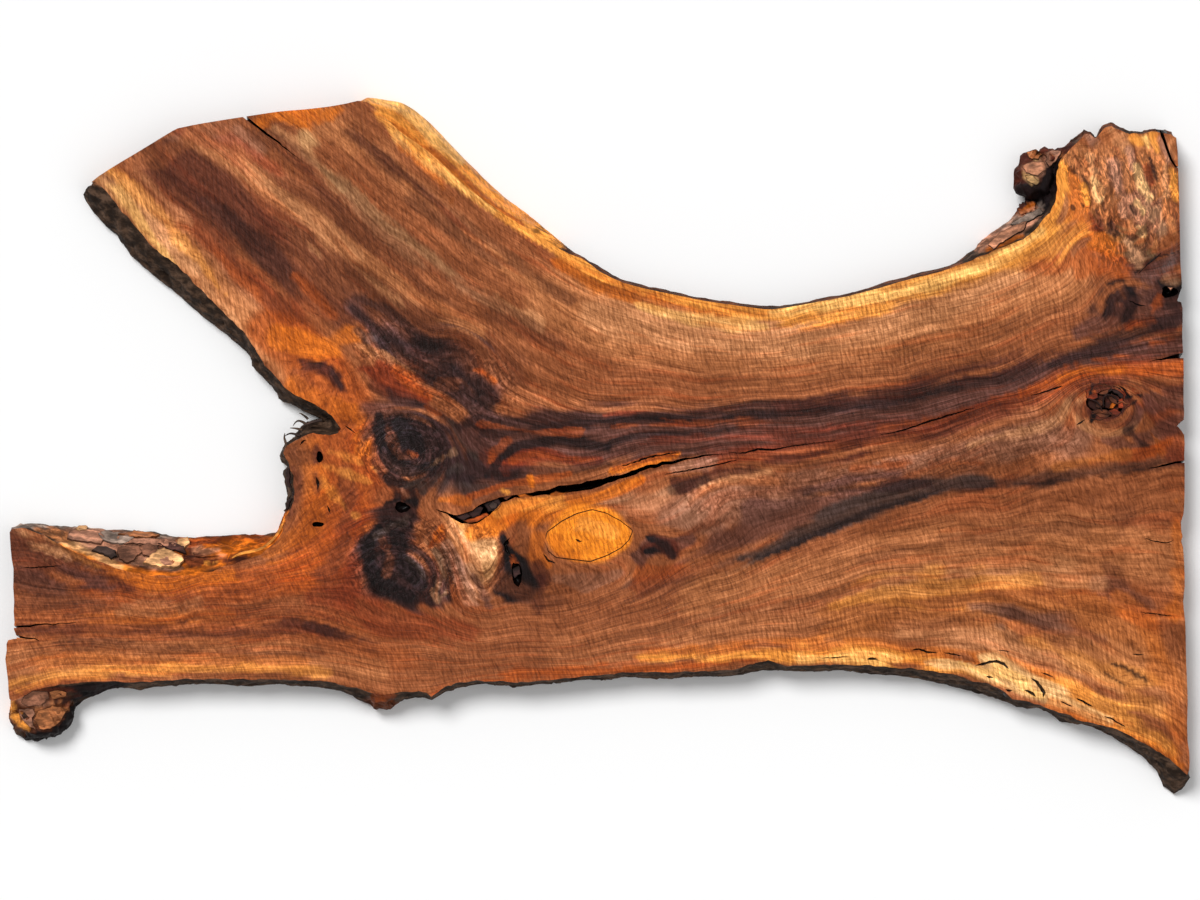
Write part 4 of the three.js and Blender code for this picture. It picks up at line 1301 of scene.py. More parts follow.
    def _dress(self, mesh: bpy.types.Mesh) -> None:
        """Paints the figure and the bark into the mesh and marks its sharp edges.

        Args:
            mesh: The slab's mesh.
        """
        places = read_all(mesh.vertices, "co", width=3)
        corners = read_all(mesh.loops, "vertex_index", int)
        sizes = read_all(mesh.polygons, "loop_total", int)
        u, v = SURVEY.reading(*places.T)
        kinds = self._kinds(mesh, places, corners, u, v)
        owner = np.repeat(np.arange(len(sizes)), sizes)
        kind = kinds[owner]
        level = self.grain.level(u, v)
        sawn = 1 - smooth(2, 7, self._from_sawn(u, v))
        tone = self._tones(places, corners, kind, (u, v, level), sawn)
        self._store(mesh, "tone", "CORNER", np.column_stack([tone, np.ones(len(tone))]))
        self._store(mesh, "bark", "CORNER", self._roughness(u, v, sawn)[corners] * (kind == Surface.OUTSIDE))
        self._store(mesh, "level", "POINT", level)
        figure, burl = self._figure(u, v)
        self._store(mesh, "figure", "POINT", figure)
        self._store(mesh, "burl", "POINT", burl)
        self._raise_bulges(mesh, places, u, v, np.unique(corners[kind == Surface.FACE]))
        mesh.shade_smooth()
        self._sharpen(mesh, kind)

    def _kinds(
        self, mesh: bpy.types.Mesh, places: np.ndarray, corners: np.ndarray, u: np.ndarray, v: np.ndarray
    ) -> np.ndarray:
        """Sorts the slab's faces into the kinds of surface.

        Args:
            mesh: The slab's mesh.
            places: Its vertices.
            corners: The vertex of each corner.
            u: Readings to the right of the vertices.
            v: Readings downwards.

        Returns:
            The kind of each face.
        """
        starts = read_all(mesh.polygons, "loop_start", int)
        upward = read_all(mesh.polygons, "normal", width=3)[:, 2]
        lowest = np.minimum.reduceat(places[corners, 2], starts)
        highest = np.maximum.reduceat(places[corners, 2], starts)
        first = corners[starts]
        kinds = np.where(self._in_cut(u[first], v[first]), Surface.CUT, Surface.OUTSIDE)
        kinds[(lowest > THICKNESS - 1e-5) & (upward > 0.99)] = Surface.FACE
        kinds[(highest < 1e-5) & (upward < -0.99)] = Surface.UNDERSIDE
        return kinds

    def _tones(
        self, places: np.ndarray, corners: np.ndarray, kind: np.ndarray, grid: tuple, sawn: np.ndarray
    ) -> np.ndarray:
        """Paints every corner by the kind of surface it lies on, with painted shade in the cuts.

        Args:
            places: The slab's vertices.
            corners: The vertex of each corner.
            kind: The kind of surface at each corner.
            grid: The vertices' readings to the right and downwards, and the grain's level at them.
            sawn: How far each vertex belongs to a sawn end.

        Returns:
            A colour for each corner.
        """
        face = self.painter.lay(FACE_STROKES + bulge_strokes(), Tint.BROWN, *grid)
        wall = self.painter.lay(WALL_STROKES, Tint.BARK, *grid)
        wall = wall * (1 - sawn[:, None]) + face * self.sawn_shade * sawn[:, None]
        # Painted shade in the cuts: the face colour darkened towards black, the more so the deeper the corner
        # lies.
        deep = (THICKNESS - places[corners, 2])[:, None] / self.cut_shade_fade
        painted_cut_shade = face[corners] * np.clip(0.12 - 0.2 * deep, 0.01, 1) + np.array(Tint.SOOT.value) * 0.25
        tone = np.where((kind == Surface.OUTSIDE)[:, None], wall[corners], face[corners])
        return np.where((kind == Surface.CUT)[:, None], painted_cut_shade, tone)

    def _roughness(self, u: np.ndarray, v: np.ndarray, sawn: np.ndarray) -> np.ndarray:
        """Gives how much bark is on the slab's outside.

        Args:
            u: Readings to the right.
            v: Readings downwards.
            sawn: How far each reading belongs to a sawn end.

        Returns:
            A share for each reading.
        """
        rough = 1 - 0.6 * sawn
        rough *= 1 - 0.75 * (1 - smooth(4, 10, from_line(u, v, points(self.peeled_edge)) - 12))
        for lump_u, lump_v, radius in self.lumps:
            rough *= 1 - 0.5 * (1 - smooth(0.9, 1.4, np.hypot(u - lump_u, v - lump_v) / radius))
        return rough

    def _raise_bulges(
        self, mesh: bpy.types.Mesh, places: np.ndarray, u: np.ndarray, v: np.ndarray, top: np.ndarray
    ) -> None:
        """Sinks the burl's face between its bulges, away from the slab's rim.

        Args:
            mesh: The slab's mesh.
            places: Its vertices.
            u: Readings to the right of the vertices.
            v: Readings downwards.
            top: Which vertices lie on the upper face.
        """
        u, v = u[top], v[top]
        swell = np.zeros(len(top))
        for bulge in BULGES:
            share = along_line(u, v, np.array(bulge.line(), float))[0]
            swell = np.maximum(swell, np.sqrt(np.clip(1 - (share / self.bulge_reach) ** 2, 0, 1)))
        inside = 1 - smooth(0.7, 1.05, along_line(u, v, points(self.burl_area))[0])
        inside *= smooth(3, 9, from_line(u, v, points(self.burl_rim)))
        places[top, 2] -= self.burl_depth * inside * (1 - swell)
        mesh.vertices.foreach_set("co", places.ravel())

    def _in_cut(self, u: np.ndarray, v: np.ndarray) -> np.ndarray:
        """Tells which readings lie in a split or a pocket and not on the slab's outside.

        Args:
            u: Readings to the right.
            v: Readings downwards.

        Returns:
            True for each reading in a cut.
        """
        lines = [points(cut) for cut in self.cuts.split(";")]
        for fissure in FISSURES:
            line = np.array(fissure.line, float)
            line[:, 2] = self.split_reach
            lines.append(line)
        return np.logical_or.reduce([along_line(u, v, line)[0] < 1 for line in lines])

    @staticmethod
    def _figure(u: np.ndarray, v: np.ndarray) -> tuple[np.ndarray, np.ndarray]:
        """Gives how streaky, how rippled and how curly the wood is, and where it is burl.

        Args:
            u: Readings to the right.
            v: Readings downwards.

        Returns:
            Three shares for each point, and the share of burl.
        """

        def zone(line: str) -> np.ndarray:
            """Gives 1 inside a thick line and 0 outside it."""
            return 1 - smooth(0.6, 1.15, along_line(u, v, points(line))[0])

        burl = zone("1070 160 14, 1110 185 44, 1150 190 46, 1120 240 34")
        eyes = np.maximum(zone("395 445 40, 415 448 40"), zone("390 560 44, 470 560 44"))
        dark = zone("380 330 24, 480 400 34, 600 436 40, 800 430 36, 1000 396 30, 1185 350 26")
        round_knot = zone("572 535 28, 606 535 28")
        plain = zone("20 600 90, 200 620 90, 340 520 110, 330 400 60")
        saw_marks = np.maximum.reduce([
            zone("100 180 30, 190 265 40, 270 350 30"),
            zone("700 640 40, 900 630 60, 1150 690 90"),
            zone("620 320 40, 900 320 60, 1050 300 40"),
            round_knot,
        ])
        plume = zone("380 340 30, 480 390 44")
        pale = zone("462 540 18, 482 570 22")
        squiggly = zone("700 500 20, 860 480 20, 960 452 22, 1060 440 26")
        ripple = 0.55 - 0.3 * plain + 0.45 * saw_marks
        streak = np.clip(0.6 + 0.4 * np.maximum(dark, eyes) - 0.35 * burl - 0.45 * round_knot, 0, 1)
        mottle = np.maximum(eyes * (1 - 0.6 * pale), 0.7 * plume) + 0.35 * plain + 0.5 * squiggly
        mottle = np.clip(mottle, 0.15, 1)
        return np.column_stack([streak, ripple * (1 - 0.8 * burl), mottle * (1 - burl)]), burl

    @staticmethod
    def _store(mesh: bpy.types.Mesh, name: str, domain: str, values: np.ndarray) -> None:
        """Stores numbers, vectors or colours on the mesh.

        Args:
            mesh: The slab's mesh.
            name: Name they are stored under.
            domain: Whether there is one for each point or for each corner.
            values: The values.
        """
        kinds = {1: ("FLOAT", "value"), 3: ("FLOAT_VECTOR", "vector"), 4: ("FLOAT_COLOR", "color")}
        kind, key = kinds[values.size // len(values)]
        attribute = mesh.attributes.new(name, kind, domain)
        attribute.data.foreach_set(key, np.ascontiguousarray(values, dtype=np.float32).ravel())

    @staticmethod
    def _sharpen(mesh: bpy.types.Mesh, kind: np.ndarray) -> None:
        """Marks the edges where one kind of surface meets another as sharp.

        Args:
            mesh: The slab's mesh.
            kind: The kind of surface at each corner.
        """
        edge_of = read_all(mesh.loops, "edge_index", int)
        lowest = np.full(len(mesh.edges), max(Surface) + 1)
        highest = np.zeros(len(mesh.edges), int)
        np.minimum.at(lowest, edge_of, kind)
        np.maximum.at(highest, edge_of, kind)
        sharp = mesh.attributes.new("sharp_edge", "BOOLEAN", "EDGE")
        sharp.data.foreach_set("value", lowest != highest)


class Nodes:
    """A short way of laying shader nodes."""

    def __init__(self, tree: bpy.types.NodeTree) -> None:
        """Keeps the tree that nodes are laid in."""
        self.tree = tree

    @classmethod
    def of_material(cls, name: str) -> tuple[bpy.types.Material, "Nodes"]:
        """Starts a material with an empty tree.

        Args:
            name: The material's name.

        Returns:
            The material, and the nodes to lay in it.
        """
        material = bpy.data.materials.new(name)
        material.use_nodes = True
        material.node_tree.nodes.clear()
        return material, cls(material.node_tree)

    def add(self, kind: str, settings: dict | None = None, **inputs: object) -> bpy.types.Node:
        """Adds a node.

        Args:
            kind: The node's type.
            settings: The node's own settings.
            inputs: Values or sockets for its inputs, named with underscores, or by place as in_0.

        Returns:
            The node.
        """
        node = self.tree.nodes.new(kind)
        for key, value in (settings or {}).items():
            setattr(node, key, value)
        for key, value in inputs.items():
            place = int(key[3:]) if key.startswith("in_") else key.replace("_", " ")
            socket = node.inputs[place]
            if isinstance(value, bpy.types.NodeSocket):
                self.tree.links.new(value, socket)
            else:
                socket.default_value = value
        return node

    def math(self, operation: str, *values: object) -> bpy.types.NodeSocket:
        """Adds a sum of numbers and gives its result."""
        inputs = {f"in_{place}": value for place, value in enumerate(values)}
        return self.add("ShaderNodeMath", {"operation": operation}, **inputs).outputs[0]

    def weigh(self, *parts: tuple[object, float]) -> bpy.types.NodeSocket:
        """Adds up values, each times its weight.

        Args:
            parts: The values and their weights.

        Returns:
            The total.
        """
        total = self.math("MULTIPLY", *parts[0])
        for value, weight in parts[1:]:
            total = self.math("MULTIPLY_ADD", value, weight, total)
        return total

    def span(
        self, value: object, low: float, high: float, floor: float = 0, top: float = 1
    ) -> bpy.types.NodeSocket:
        """Stretches values from low to high smoothly onto those from floor to top."""
        ranges = {"From_Min": low, "From_Max": high, "To_Min": floor, "To_Max": top}
        smoothly = {"interpolation_type": "SMOOTHSTEP"}
        return self.add("ShaderNodeMapRange", smoothly, Value=value, **ranges).outputs[0]

    def mix(self, kind: str, share: object, first: object, second: object) -> bpy.types.NodeSocket:
        """Mixes two colours."""
        settings = {"data_type": "RGBA", "blend_type": kind}
        node = self.add("ShaderNodeMix", settings, in_0=share, in_6=first, in_7=second)
        return node.outputs[2]

    def combine(self, x: object, y: object, z: object) -> bpy.types.NodeSocket:
        """Makes a vector of three values."""
        return self.add("ShaderNodeCombineXYZ", X=x, Y=y, Z=z).outputs[0]

    def colour(self, red: object, green: object, blue: object) -> bpy.types.NodeSocket:
        """Makes a colour of three values."""
        return self.add("ShaderNodeCombineColor", Red=red, Green=green, Blue=blue).outputs[0]

    def own(self, name: str, output: str = "Fac") -> bpy.types.NodeSocket:
        """Reads an attribute that is stored on the mesh."""
        return self.add("ShaderNodeAttribute", {"attribute_name": name}).outputs[output]

    def noise(
        self, vector: object, scale: float, detail: float, roughness: float, twist: float = 0.0
    ) -> bpy.types.NodeSocket:
        """Adds a noise and gives its values."""
        settings = {"Scale": scale, "Detail": detail, "Roughness": roughness, "Distortion": twist}
        return self.add("ShaderNodeTexNoise", Vector=vector, **settings).outputs[0]

    def shaded(self, tone: object, stops: object) -> bpy.types.NodeSocket:
        """Places the group that lightens and darkens a colour."""
        return self.add("ShaderNodeGroup", {"node_tree": shade_group()}, Tone=tone, Stops=stops).outputs[0]

    def finish(self, **inputs: object) -> None:
        """Adds the shader and joins it to the material's output."""
        shader = self.add("ShaderNodeBsdfPrincipled", **inputs)
        self.tree.links.new(shader.outputs[0], self.add("ShaderNodeOutputMaterial").inputs[0])


def shade_group() -> bpy.types.ShaderNodeTree:
    """Gives the group that lightens and darkens a colour, which wood and bark share.

    Returns:
        The group, with the inputs Tone and Stops and the output Shade.
    """
    name = "shade_by_stops"
    if name in bpy.data.node_groups:
        return bpy.data.node_groups[name]
    group = bpy.data.node_groups.new(name, "ShaderNodeTree")
    group.interface.new_socket("Tone", in_out="INPUT", socket_type="NodeSocketColor")
    group.interface.new_socket("Stops", in_out="INPUT", socket_type="NodeSocketFloat")
    group.interface.new_socket("Shade", in_out="OUTPUT", socket_type="NodeSocketColor")
    n = Nodes(group)
    given = n.add("NodeGroupInput").outputs
    gain = n.math("POWER", 2.0, given["Stops"])
    n.add("NodeGroupOutput", Shade=n.mix("MULTIPLY", 1.0, given["Tone"], n.colour(gain, gain, gain)))
    return group


@dataclass(frozen=True)
class Pattern:
    """A noise in the wood: how fine it is along and across, its detail and seed, and what of it shows."""

    along: float
    across: float
    detail: float
    seed: float
    low: float
    high: float
    floor: float = -1.0
    twist: float = 0.0


@dataclass(frozen=True)
class Weights:
    """How much each pattern lightens the wood, before the whole is stretched."""

    broad: float = 0.26
    middle: float = 0.38
    blots: float = 0.3
    fine: float = 0.5
    lines: float = -0.6
    drift: float = 0.16
    curls: float = 0.7
    ripple: float = 0.42
    crossing: float = 0.24
    pores: float = -0.5


@dataclass(frozen=True)
class Heights:
    """How high each pattern stands, in metres."""

    ripple: float = 0.00022
    fine: float = 0.00006
    crossing: float = 0.00008
    pores: float = -0.0001
    curls: float = 0.00012
    knobs: float = 0.002
    rind: float = 0.004


@dataclass(frozen=True)
class WalnutFinish:
    """Oiled walnut: streaks and pores along the grain, saw ripples across it, bark where marked; ripples, burl
    knobs and bark are lighter where they stand up and darker where low, as painted light and shade.
    """

    roughness: float = 0.33
    bark_roughness: float = 0.42
    scratch_roughness: float = 0.05
    specular: float = 0.1
    bump: float = 0.6
    stretch: float = 1.42
    lift: float = 0.22
    warmth: float = 0.86
    coolness: float = 1.16
    flame_share: float = 0.5
    flame_colour: tuple = (1.35, 0.8, 0.5, 1)
    burl_share: float = 0.85
    weights: Weights = Weights()
    heights: Heights = Heights()
    broad: Pattern = Pattern(4, 0.05, 3, 3, 0.3, 0.7)
    middle: Pattern = Pattern(8, 0.16, 3, 17, 0.3, 0.7)
    fine: Pattern = Pattern(16, 0.5, 4, 31, 0.3, 0.7)
    blots: Pattern = Pattern(13, 0.09, 4, 71, 0.34, 0.66)
    lines: Pattern = Pattern(7, 0.62, 2, 83, 0.55, 0.68, 0)
    pores: Pattern = Pattern(90, 1.2, 2, 47, 0.56, 0.7, 0)
    flame: Pattern = Pattern(7, 0.13, 4, 59, 0.52, 0.66, 0)
    crossing: Pattern = Pattern(330, 60, 2, 7, 0.32, 0.68, -1, 0.3)
    nicks: Pattern = Pattern(240, 44, 2, 3, 0.57, 0.7, 0, 0.5)
    knobs: Pattern = Pattern(150, 60, 5, 3, 0.34, 0.66, 0, 1.4)
    ripple_pitch: float = 0.0066
    ripple_lean: float = 0.12
    ripple_waver: tuple = ((20, 2, 3.2), (3, 1, 14))
    scratch_fineness: tuple = (360, 34)
    scratch_weight: float = 0.5
    teeth_weight: float = -0.85
    cross_turn: tuple = (0.9, 0.42)
    rind_fineness: tuple = (34, 80)

    def make(self) -> bpy.types.Material:
        """Makes the finish.

        Returns:
            The material.
        """
        material, n = Nodes.of_material("oiled_walnut")
        place = n.add("ShaderNodeTexCoord").outputs["Object"]
        x, y, z = n.add("ShaderNodeSeparateXYZ", Vector=place).outputs
        streaky, rippled, mottled = n.add("ShaderNodeSeparateXYZ", Vector=n.own("figure", "Vector")).outputs
        tone, level, bark, burl = n.own("tone", "Color"), n.own("level"), n.own("bark"), n.own("burl")
        weights, heights = self.weights, self.heights

        def grain(pattern: Pattern) -> bpy.types.NodeSocket:
            """Gives a pattern drawn out along the grain.

            Args:
                pattern: The pattern.

            Returns:
                Its values.
            """
            vector = n.combine(
                n.math("MULTIPLY", x, pattern.along),
                n.math("MULTIPLY_ADD", y, pattern.along, pattern.seed),
                n.math("MULTIPLY", level, pattern.across),
            )
            return n.span(n.noise(vector, 1, pattern.detail, 0.6), pattern.low, pattern.high, pattern.floor)

        def cloud(scale: float, detail: float, twist: float = 0.0) -> bpy.types.NodeSocket:
            """Gives a pattern with no direction of its own."""
            return n.noise(place, scale, detail, 0.62, twist)

        def drawn_out(first: object, second: object, pattern: Pattern) -> bpy.types.NodeSocket:
            """Gives a pattern drawn out along the first of two directions.

            Args:
                first: Place along the one direction.
                second: Place along the other.
                pattern: The pattern.

            Returns:
                Its values.
            """
            vector = n.combine(
                n.math("MULTIPLY", first, pattern.along),
                n.math("MULTIPLY", second, pattern.across),
                pattern.seed,
            )
            noise = n.noise(vector, 1, pattern.detail, 0.62, pattern.twist)
            return n.span(noise, pattern.low, pattern.high, pattern.floor)

        def in_depth(first: object, fineness: tuple, detail: float) -> bpy.types.NodeSocket:
            """Gives a pattern that runs on over the slab's edge."""
            long, short = fineness
            parts = [n.math("MULTIPLY", first, long)] + [n.math("MULTIPLY", part, short) for part in (y, z)]
            return n.noise(n.combine(*parts), 1, detail, 0.62)

        fine, pores, lines = grain(self.fine), grain(self.pores), grain(self.lines)
        curls = n.math("MULTIPLY", n.span(cloud(85, 3, 1.6), 0.36, 0.64, -1), mottled)
        sawn = n.math("ADD", x, n.math("MULTIPLY", y, self.ripple_lean))
        phase = n.math("MULTIPLY", sawn, 2 * math.pi / self.ripple_pitch)
        for scale, detail, weight in self.ripple_waver:
            phase = n.math("ADD", phase, n.math("MULTIPLY", cloud(scale, detail), weight))
        # The ripple's colour follows its relief: darker in the saw grooves, lighter on the scratches and
        # chatter marks that stand up, which is painted light and shade on top of the bump.
        teeth = n.span(n.math("SINE", phase), 0.05, 0.95)
        teeth = n.math("MULTIPLY", teeth, n.span(cloud(16, 3), 0.34, 0.62, 0.25))
        scratch = n.span(in_depth(sawn, self.scratch_fineness, 3), 0.3, 0.7, -1)
        marks = n.weigh((scratch, self.scratch_weight), (teeth, self.teeth_weight))
        ripple = n.math("MULTIPLY", marks, rippled)
        cos, sin = self.cross_turn
        across, down = n.weigh((x, cos), (y, sin)), n.weigh((y, cos), (x, -sin))
        crossing = drawn_out(across, down, self.crossing)
        nicks = drawn_out(across, down, self.nicks)

        figure = n.weigh(
            (grain(self.broad), weights.broad),
            (grain(self.middle), weights.middle),
            (grain(self.blots), weights.blots),
            (fine, weights.fine),
            (lines, weights.lines),
        )
        stops = n.weigh(
            (n.math("MULTIPLY", figure, streaky), 1.0),
            (n.span(cloud(9, 5), 0.3, 0.7, -1), weights.drift),
            (curls, weights.curls),
            (ripple, weights.ripple),
            (crossing, weights.crossing),
            (n.math("MAXIMUM", pores, nicks), weights.pores),
        )
        gain = n.math("POWER", 2.0, n.math("MULTIPLY_ADD", stops, self.stretch, self.lift))
        flame = n.math("MULTIPLY", n.math("MULTIPLY", grain(self.flame), streaky), self.flame_share)
        figure_and_mark_shade = n.colour(n.math("POWER", gain, self.warmth), gain, n.math("POWER", gain, self.coolness))
        face = n.mix("MULTIPLY", 1.0, n.mix("MULTIPLY", flame, tone, self.flame_colour), figure_and_mark_shade)
        knobs = drawn_out(sawn, y, self.knobs)
        # Painted light and shade of the burl's knobs: lighter where the knob bump stands up, darker where it is
        # low.
        knob_light_and_shade = n.shaded(tone, n.math("MULTIPLY_ADD", knobs, 2.5, -1.0))
        face = n.mix("MIX", n.math("MULTIPLY", burl, self.burl_share), face, knob_light_and_shade)
        rind = in_depth(x, self.rind_fineness, 6)
        # Painted shade in the bark's furrows: the rind darkens the colour where its bump is low and lightens it
        # on the ridges.
        side = n.shaded(tone, n.span(rind, 0.36, 0.66, -1.6, 1.0))

        height = n.weigh(
            (ripple, heights.ripple),
            (fine, heights.fine),
            (crossing, heights.crossing),
            (n.math("MAXIMUM", pores, lines), heights.pores),
            (curls, heights.curls),
            (n.math("MULTIPLY", knobs, burl), heights.knobs),
            (n.math("MULTIPLY", rind, bark), heights.rind),
        )
        gloss = n.math("MULTIPLY_ADD", bark, self.bark_roughness, self.roughness)
        n.finish(
            Base_Color=n.mix("MIX", bark, face, side),
            Roughness=n.math("MULTIPLY_ADD", scratch, self.scratch_roughness, gloss),
            Normal=n.add("ShaderNodeBump", Strength=self.bump, Distance=1.0, Height=height).outputs[0],
            Specular_IOR_Level=self.specular,
        )
        return material


@dataclass(frozen=True)
class BarkFinish:
    """Dry bark and torn wood: one colour for each piece, broken up by fine furrows, painted darker where their
    bump is low as painted shade, and by stains.
    """

    furrows: float = 90.0
    flattening: tuple = (0.4, 1.0, 1.0)
    stains: float = 36.0
    roughness: float = 0.7
    specular: float = 0.2
    bump: float = 0.6
    depth: float = 0.0014

    def make(self) -> bpy.types.Material:
        """Makes the finish.

        Returns:
            The material.
        """
        material, n = Nodes.of_material("dry_bark")
        place = n.add("ShaderNodeTexCoord").outputs["Object"]
        flat = n.add("ShaderNodeVectorMath", {"operation": "MULTIPLY"}, in_0=place, in_1=self.flattening)
        along = flat.outputs[0]
        rough = n.noise(along, self.furrows, 6, 0.7)
        stain = n.noise(place, self.stains, 3, 0.5)
        # The furrows darken the colour where they lie low: painted shade.
        stops = n.math("ADD", n.span(rough, 0.34, 0.66, -1.1, 0.7), n.span(stain, 0.35, 0.65, -0.5, 0.5))
        height = n.math("MULTIPLY", rough, self.depth)
        n.finish(
            Base_Color=n.shaded(n.own("tone", "Color"), stops),
            Roughness=self.roughness,
            Normal=n.add("ShaderNodeBump", Strength=self.bump, Distance=1.0, Height=height).outputs[0],
            Specular_IOR_Level=self.specular,
        )
        return material


@dataclass(frozen=True)
class FloorFinish:
    """A plain pale floor."""

    shade: float = 0.98
    roughness: float = 0.9

    def make(self) -> bpy.types.Material:
        """Makes the floor's material.

        Returns:
            The material.
        """
        material, n = Nodes.of_material("pale_floor")
        shade = (self.shade, self.shade, self.shade, 1)
        n.finish(Base_Color=shade, Roughness=self.roughness, Specular_IOR_Level=0.0)
        return material


def clear_selection() -> None:
    """Deselects everything, so that operators act on new pieces only."""
    if bpy.context.object and bpy.context.object.mode != "OBJECT":
        bpy.ops.object.mode_set(mode="OBJECT")
    bpy.ops.object.select_all(action="DESELECT")


def joined(pieces: list, name: str, crease: float = 35.0) -> bpy.types.Object:
    """Joins pieces into one object.

    Args:
        pieces: The pieces.
        name: Name of the joined piece.
        crease: Angle past which an edge is sharp, in degrees.

    Returns:
        The joined piece, at the origin and unturned.
    """
    clear_selection()
    for piece in pieces:
        piece.select_set(True)
    bpy.context.view_layer.objects.active = pieces[0]
    bpy.ops.object.join()
    bpy.ops.object.transform_apply(location=True, rotation=True, scale=True)
    whole = bpy.context.object
    whole.name = name
    bpy.ops.object.shade_smooth_by_angle(angle=math.radians(crease))
    return whole


def tint_piece(piece: bpy.types.Object, tint: Tint, shades: np.ndarray) -> None:
    """Stores a colour on a piece's points, where its finish reads it.

    Args:
        piece: The piece.
        tint: Its colour.
        shades: How light each point is, from 0 to 1; on plates the sides and rim are darker, as painted shade.
    """
    colours = np.column_stack([np.outer(shades, tint.value), np.ones(len(shades))]).astype(np.float32)
    piece.data.attributes.new("tone", "FLOAT_COLOR", "POINT").data.foreach_set("color", colours.ravel())


@dataclass(frozen=True)
class Plate:
    """One plate of bark or shard of wood: its colour, its outline as u and v, and how it sits, in mm.

    It lies on the slab, or in a hollow when the height of its upper side is given.
    """

    tint: Tint
    outline: tuple
    thickness: float
    height: float | None = None
    tilt_u: float = 0.0
    tilt_v: float = 0.0

    @classmethod
    def read(cls, text: str) -> tuple["Plate", ...]:
        """Reads plates: colour, thickness and, in a hollow, height and tilts."""
        return tuple(cls(Tint[name], line, *map(float, numbers)) for (name, *numbers), line in drawn(text))


@dataclass
class Plates:
    """A set of plates, each drawn and laid on the slab along the survey's sight lines."""

    name: str
    plates: tuple[Plate, ...]
    ragged: float = 0.7
    # How dark the plates' sides and rims are painted: painted shade at their edges.
    rim_shade: float = 0.12
    step: float = 3.0
    stand: float = 0.0002
    widest_bevel: float = 0.0013
    bevel_share: float = 0.4
    crown_share: float = 0.12

    def build(self, slab: bpy.types.Object) -> bpy.types.Object:
        """Builds the plates on the slab."""
        pieces = [self._plate(plate, slab, number) for number, plate in enumerate(self.plates)]
        return joined(pieces, self.name)

    def _plate(self, plate: Plate, slab: bpy.types.Object, number: int) -> bpy.types.Object:
        """Builds one plate.

        Args:
            plate: The plate.
            slab: What it lies on.
            number: Its number, which seeds its ragged rim.

        Returns:
            The plate.
        """
        draw = np.random.default_rng(300 + number)
        rim = []
        for (u0, v0), (u1, v1) in zip(plate.outline, plate.outline[1:] + plate.outline[:1]):
            count = max(1, round(math.hypot(u1 - u0, v1 - v0) / self.step))
            for share in np.arange(count) / count:
                off_u, off_v = draw.normal(0, 0.4 * self.ragged, 2)
                rim.append((u0 + (u1 - u0) * share + off_u, v0 + (v1 - v0) * share + off_v))
        places, up = self._seats(rim, plate, slab)
        clear_selection()
        bpy.ops.mesh.primitive_circle_add(vertices=len(rim), fill_type="NGON", radius=0.01)
        piece = bpy.context.object
        for vert, place in zip(piece.data.vertices, places):
            vert.co = place
        thickness = plate.thickness / MILLIMETRE
        bevel = min(self.widest_bevel, self.bevel_share * thickness)
        bpy.ops.object.mode_set(mode="EDIT")
        bpy.ops.mesh.select_all(action="SELECT")
        bpy.ops.mesh.extrude_region_move(TRANSFORM_OT_translate={"value": up * thickness})
        bpy.ops.mesh.inset(thickness=bevel, depth=self.crown_share * thickness)
        bpy.ops.object.mode_set(mode="OBJECT")
        unshaded_crown = np.array([vert.select for vert in piece.data.vertices])
        bpy.ops.object.mode_set(mode="EDIT")
        bpy.ops.mesh.select_all(action="SELECT")
        bpy.ops.mesh.quads_convert_to_tris(quad_method="BEAUTY", ngon_method="BEAUTY")
        bpy.ops.mesh.normals_make_consistent(inside=False)
        bpy.ops.object.mode_set(mode="OBJECT")
        # The crown keeps the plate's colour; the sides and rim get the painted shade of rim_shade.
        tint_piece(piece, plate.tint, np.where(unshaded_crown, 1.0, self.rim_shade))
        return piece

    def _seats(self, rim: list, plate: Plate, slab: bpy.types.Object) -> tuple[list[Vector], Vector]:
        """Finds where a plate's underside lies, and which way is up for it.

        Args:
            rim: The plate's ragged outline as u and v.
            plate: The plate.
            slab: What it lies on.

        Returns:
            The underside's points, and the way up.
        """
        eye = SURVEY.eye()
        middle_u, middle_v = np.mean(rim, axis=0)
        places = []
        up = Vector((0, 0, 0))
        for u, v in rim:
            height = THICKNESS
            if plate.height is not None:
                rise = plate.tilt_u * (u - middle_u) + plate.tilt_v * (v - middle_v)
                height = (plate.height - plate.thickness) / MILLIMETRE + rise * SURVEY.unit
            aim = Vector((*(float(c) for c in SURVEY.at(u, v, height)), height))
            if plate.height is None:
                hit, place, normal, _ = slab.ray_cast(eye, (aim - eye).normalized())
                if hit:
                    aim = place
                    up += normal
            places.append(aim)
        up = up.normalized() if up.length > 0 else Vector((0, 0, 1))
        return [place + up * self.stand for place in places], up


@dataclass(frozen=True)
class Strand:
    """One torn fibre or curled ridge: its line as u, v, height above the floor and radius, in mm."""

    tint: Tint
    line: tuple

    @classmethod
    def read(cls, text: str) -> tuple["Strand", ...]:
        """Reads strands: colour and line."""
        return tuple(cls(Tint[name], line) for (name,), line in drawn(text))


